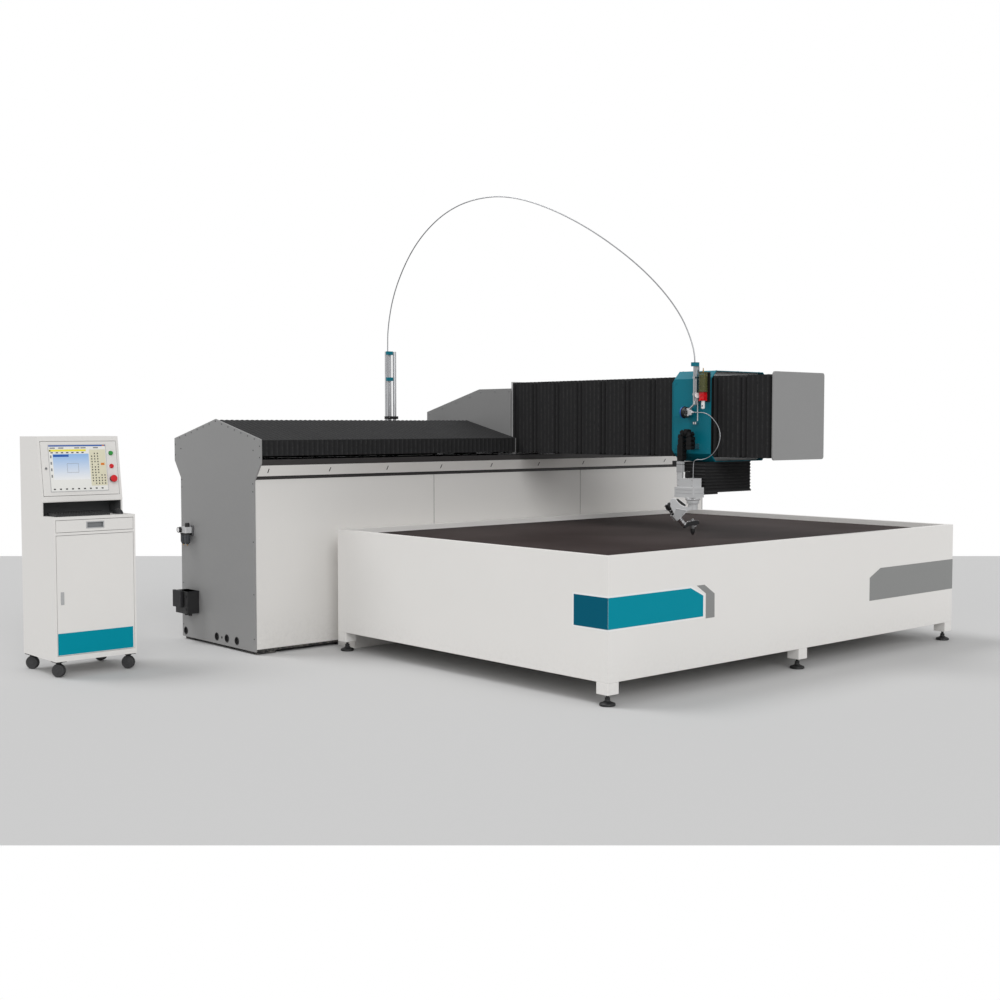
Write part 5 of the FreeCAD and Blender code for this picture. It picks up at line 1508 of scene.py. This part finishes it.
def doorBand():
    bm = bmesh.new()
    x0, x1, z0, z1 = consoleBox["teal"]
    (low, high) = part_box("console_door")
    x0, x1 = max(x0, low[0] - tankCorner.x + 0.001), min(x1, high[0] - tankCorner.x - 0.001)
    addBox(bm, (x0, front - 0.0006, z0), (x1, front + 0.0001, z1))
    return newPiece("doorBand", bm, [tealFilm])


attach(doorBand(), bodyOf["console_door"])


# painted shade: a mid-grey lining at the back of the console recess stands for the shade in there
def recessLiner():
    bm = bmesh.new()
    x0, x1 = consoleBox["x"][0] + 0.0125, consoleBox["x"][1] - 0.0125
    y0, y1, z0, z1 = front + 0.196, front + 0.3825, 1.1105, 1.2035
    verts = [(x0, y0, z0), (x1, y0, z0), (x1, y1, z0), (x0, y1, z0), (x0, y0, z1), (x1, y0, z1), (x1, y1, z1),
             (x0, y1, z1)]
    addFaces(bm, verts, [(0, 1, 2, 3), (7, 6, 5, 4), (3, 2, 6, 7), (0, 3, 7, 4), (1, 5, 6, 2)])
    return newPiece("recessLiner", bm, [recessShadeGrey], outward=False)


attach(recessLiner(), bodyOf["console_cabinet"])

screen = {"x": (-2.054, -1.632), "z": (0.068, 0.393), "edge": 0.004}


def onScreen(u, v):
    (x0, x1), (z0, z1) = screen["x"], screen["z"]
    return x0 + u * (x1 - x0), z0 + v * (z1 - z0)


def workAreaMaterial():
    material = paint("workArea", rgb(210, 222, 236), 0.25, 0.01, 0.0, 0.02)
    tree = material.node_tree
    split = tree.nodes.new("ShaderNodeSeparateXYZ")
    tree.links.new(tree.nodes.new("ShaderNodeTexCoord").outputs["Object"], split.inputs[0])
    fade = rampNode(tree, split.outputs["Z"], 1.36, 1.54)
    tree.links.new(mixColour(tree, fade, rgb(246, 247, 248), rgb(150, 192, 240)),
                   tree.nodes["Principled BSDF"].inputs["Base Color"])
    return material


def screenParts():
    bm = bmesh.new()
    e = screen["edge"]
    (x0, x1), (z0, z1) = screen["x"], screen["z"]
    addBox(bm, (x0, -0.0026, z0), (x1, -0.0001, z1), 1)
    for low, high in (((x0 - e, z0 - e), (x1 + e, z0)), ((x0 - e, z1), (x1 + e, z1 + e)),
                      ((x0 - e, z0), (x0, z1)), ((x1, z0), (x1 + e, z1))):
        addBox(bm, (low[0], -0.0038, low[1]), (high[0], -0.0001, high[1]), 8)
    areas = [((0, 0.971), (1, 1), 2, 0), ((0.006, 0.862), (0.650, 0.906), 3, 0),
             ((0.063, 0.246), (0.693, 0.808), 4, 0), ((0.708, 0.101), (0.994, 0.899), 5, 0),
             ((0.012, 0.862), (0.030, 0.9), 0, 1), ((0.07, 0.745), (0.34, 0.795), 2, 1),
             ((0.945, 0.975), (0.985, 0.996), 6, 1), ((0.9, 0.55), (0.965, 0.6), 6, 1),
             ((0.3, 0.40), (0.50, 0.405), 7, 1), ((0.3, 0.40), (0.304, 0.60), 7, 1),
             ((0.496, 0.40), (0.50, 0.60), 7, 1), ((0.3, 0.595), (0.50, 0.60), 7, 1)]
    for i in range(7):
        areas.append(((0.03 + i * 0.09, 0.825), (0.07 + i * 0.09, 0.848), 0, 0))
    for u in (0.02, 0.17, 0.45, 0.56, 0.78):
        areas.append(((u, 0.925), (u + 0.09, 0.950), 7, 0))
    for i in range(9):
        areas.append(((0.04 + i * 0.105, 0.030), (0.075 + i * 0.105, 0.058), 0, 0))
    for i in range(4):
        areas.append(((0.018, 0.30 + i * 0.14), (0.042, 0.36 + i * 0.14), 7, 0))
    for (u0, v0), (u1, v1), slot, level in areas:
        a, b = onScreen(u0, v0), onScreen(u1, v1)
        y = -0.0030 - 0.0004 * level
        addBox(bm, (a[0], y, a[1]), (b[0], -0.0025, b[1]), slot)
    return newPiece("screenDisplay", bm, [blackPlastic, screenGlass, screenBlue, screenYellow,
                                          workAreaMaterial(), screenCream, orangePlastic, greyPlastic,
                                          palePowder],
                    slopePlace)


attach(screenParts(), bodyOf["screen_panel"])


def slopePoints(spots, y):
    way = (slopePlace.to_3x3() @ Vector((0, -1, 0)))
    return [((slopePlace @ Vector((x, y, z))), tuple(way)) for x, z in spots]


def keyShape(name, width, depth, height):
    bm = bmesh.new()
    w, d = width / 2, depth / 2
    verts = [(-w, -d, 0), (w, -d, 0), (w, d, 0), (-w, d, 0), (-w * 0.8, -d * 0.78, height),
             (w * 0.8, -d * 0.78, height),
             (w * 0.8, d * 0.78, height), (-w * 0.8, d * 0.78, height)]
    addFaces(bm, verts, [(3, 2, 1, 0), (4, 5, 6, 7), (0, 1, 5, 4), (1, 2, 6, 5), (2, 3, 7, 6), (3, 0, 4, 7)])
    return shapeObject(name, bm)


smallKey = keyShape("screenKey", 0.0085, 0.0100, 0.0006)
# rows of small keys on the right of the display, some left out
spots = [onScreen(0.745 + i * 0.0535, 0.15 + j * 0.060) for i in range(5) for j in range(12)
         if (i < 3 or j < 4) and (i + 3 * j) % 11]
scatter("screenKeys", bodyOf["screen_panel"], slopePoints(spots, -0.0029), smallKey, blackPlastic)
bpy.data.objects.remove(smallKey)
softCopy("keyboard_and_mouse", [keyboardPlastic, blackPlastic], 0.0015, 3, rule=lambda p, n: 0)
keyboard = {"x": (-2.091, -1.691), "y": (3.247, 3.387), "low": 1.122, "high": 1.136}


def keyPlaces(rows, columns, left, right):
    rise = (keyboard["high"] - keyboard["low"]) / (keyboard["y"][1] - keyboard["y"][0])
    way = Vector((0, -rise, 1)).normalized()
    places = []
    for r in range(rows):
        y = keyboard["y"][0] + 0.016 + r * 0.0212
        for c in range(columns):
            x = left + (right - left) * (c + 0.5 * (r % 2) * (columns > 5)) / (columns - 0.5)
            places.append(((x, y, keyboard["low"] + rise * (y - keyboard["y"][0]) - 0.0002), tuple(way)))
    return places


bigKey = keyShape("boardKey", 0.0165, 0.0165, 0.004)
scatter("keyboardKeys", bodyOf["keyboard_and_mouse"], keyPlaces(6, 15, -2.078, -1.800)
        + keyPlaces(6, 4, -1.768, -1.706), bigKey, blackPlastic)
bpy.data.objects.remove(bigKey)


def consoleFittings():
    bm = bmesh.new()
    x = -2.083
    addTurned(bm, [(0, 0.0054), (0.0035, 0.0054), (0.0035, 0.0050), (0.0085, 0.0050), (0.010, 0.0035),
                   (0.010, 0)], (x, -0.0001, 0.230), (0, -1, 0), 0, 24)
    addBox(bm, (x - 0.0006, -0.0062, 0.2265), (x + 0.0006, -0.0050, 0.2335), 1)
    for bx, bz, r in ((-1.598, 0.332, 0.019), (-1.598, 0.238, 0.019), (-1.598, 0.146, 0.024)):
        addTurned(bm, [(r - 0.003, 0), (r - 0.001, 0.0022), (r, 0.0016), (r, 0)], (bx, -0.0001, bz),
                  (0, -1, 0), 2, 32)
    return newPiece("screenPanelFittings", bm, [screwSteel, blackPlastic, whiteFilm], slopePlace)


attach(consoleFittings(), bodyOf["screen_panel"])
wheelScrews = [((x + a, y + b, 0.108), (0, 0, -1)) for x in castors["x"] for y in castors["y"]
               for a in (-0.029, 0.029) for b in (-0.029, 0.029)]
scatter("casterScrews", bodyOf["casters"], wheelScrews, screwTemplate, screwSteel, 0.7)
scatter("consoleRearScrews", bodyOf["console_cabinet"],
        [((x, 3.740, z), (0, 1, 0)) for x in (-2.115, -1.83, -1.544) for z in (0.15, 0.62, 1.09, 1.56)],
        screwTemplate, screwSteel, 0.8)
bpy.data.objects.remove(screwTemplate)
print("console dressed")


# floor, light and camera

camera = {"place": (-7.2936, -8.0006, 1.75), "pitch": 0.0555, "turn": -0.7279, "lens": 49.22}
floorSettings = {"near": 5.60, "far": 18.09, "half": 14.0, "colour": rgb(200, 200, 200)}


def makeFloor():
    ahead = Vector((-math.sin(camera["turn"]), math.cos(camera["turn"]), 0))
    right = Vector((ahead.y, -ahead.x, 0))
    base = Vector((camera["place"][0], camera["place"][1], -0.0005))
    mesh = bpy.data.meshes.new("studioFloor")
    near, far, half = floorSettings["near"], floorSettings["far"], floorSettings["half"]
    corners = [base + ahead * d + right * s
               for d, s in ((near, -half), (near, half), (far, half), (far, -half))]
    mesh.from_pydata(corners, [], [(0, 1, 2, 3)])
    floor = bpy.data.objects.new("studioFloor", mesh)
    bpy.context.scene.collection.objects.link(floor)
    material = bpy.data.materials.new("floorPaint")
    material.use_nodes = True
    shader = material.node_tree.nodes["Principled BSDF"]
    shader.inputs["Base Color"].default_value = floorSettings["colour"]
    shader.inputs["Roughness"].default_value = 0.9
    shader.inputs["Specular IOR Level"].default_value = 0.1
    mesh.materials.append(material)


# white behind and through the glass, a soft even light on the object
def makeWorld(ambient):
    world = bpy.data.worlds.new("studio")
    bpy.context.scene.world = world
    world.use_nodes = True
    tree = world.node_tree
    sky = tree.nodes["Background"]
    path = tree.nodes.new("ShaderNodeLightPath")
    seen = mathNode(tree, "MAXIMUM", path.outputs["Is Camera Ray"], path.outputs["Is Transmission Ray"])
    lifted = mathNode(tree, "MULTIPLY", seen, 1.0 - ambient)  # shown white, lights softly
    tree.links.new(mathNode(tree, "ADD", lifted, ambient), sky.inputs["Strength"])
    sky.inputs["Color"].default_value = (1, 1, 1, 1)


def makeSun(name, fromPoint, strength, spread):
    light = bpy.data.lights.new(name, "SUN")
    light.energy = strength
    light.angle = math.radians(spread)
    lamp = bpy.data.objects.new(name, light)
    bpy.context.scene.collection.objects.link(lamp)
    lamp.rotation_euler = Vector(fromPoint).to_track_quat("Z", "Y").to_euler()


makeFloor()
makeWorld(0.62)
makeSun("keyLight", (-0.35, 0.55, 1.0), 1.1, 25)
makeSun("fillLight", (-0.5, -1.0, 0.55), 1.0, 30)
lens = bpy.data.cameras.new("studioCamera")
lens.lens = camera["lens"]
lens.sensor_width = 36.0
eye = bpy.data.objects.new("studioCamera", lens)
bpy.context.scene.collection.objects.link(eye)
eye.location = camera["place"]
eye.rotation_euler = (math.pi / 2 - camera["pitch"], 0, camera["turn"])
bpy.context.scene.camera = eye
bpy.context.scene.view_settings.view_transform = "Standard"
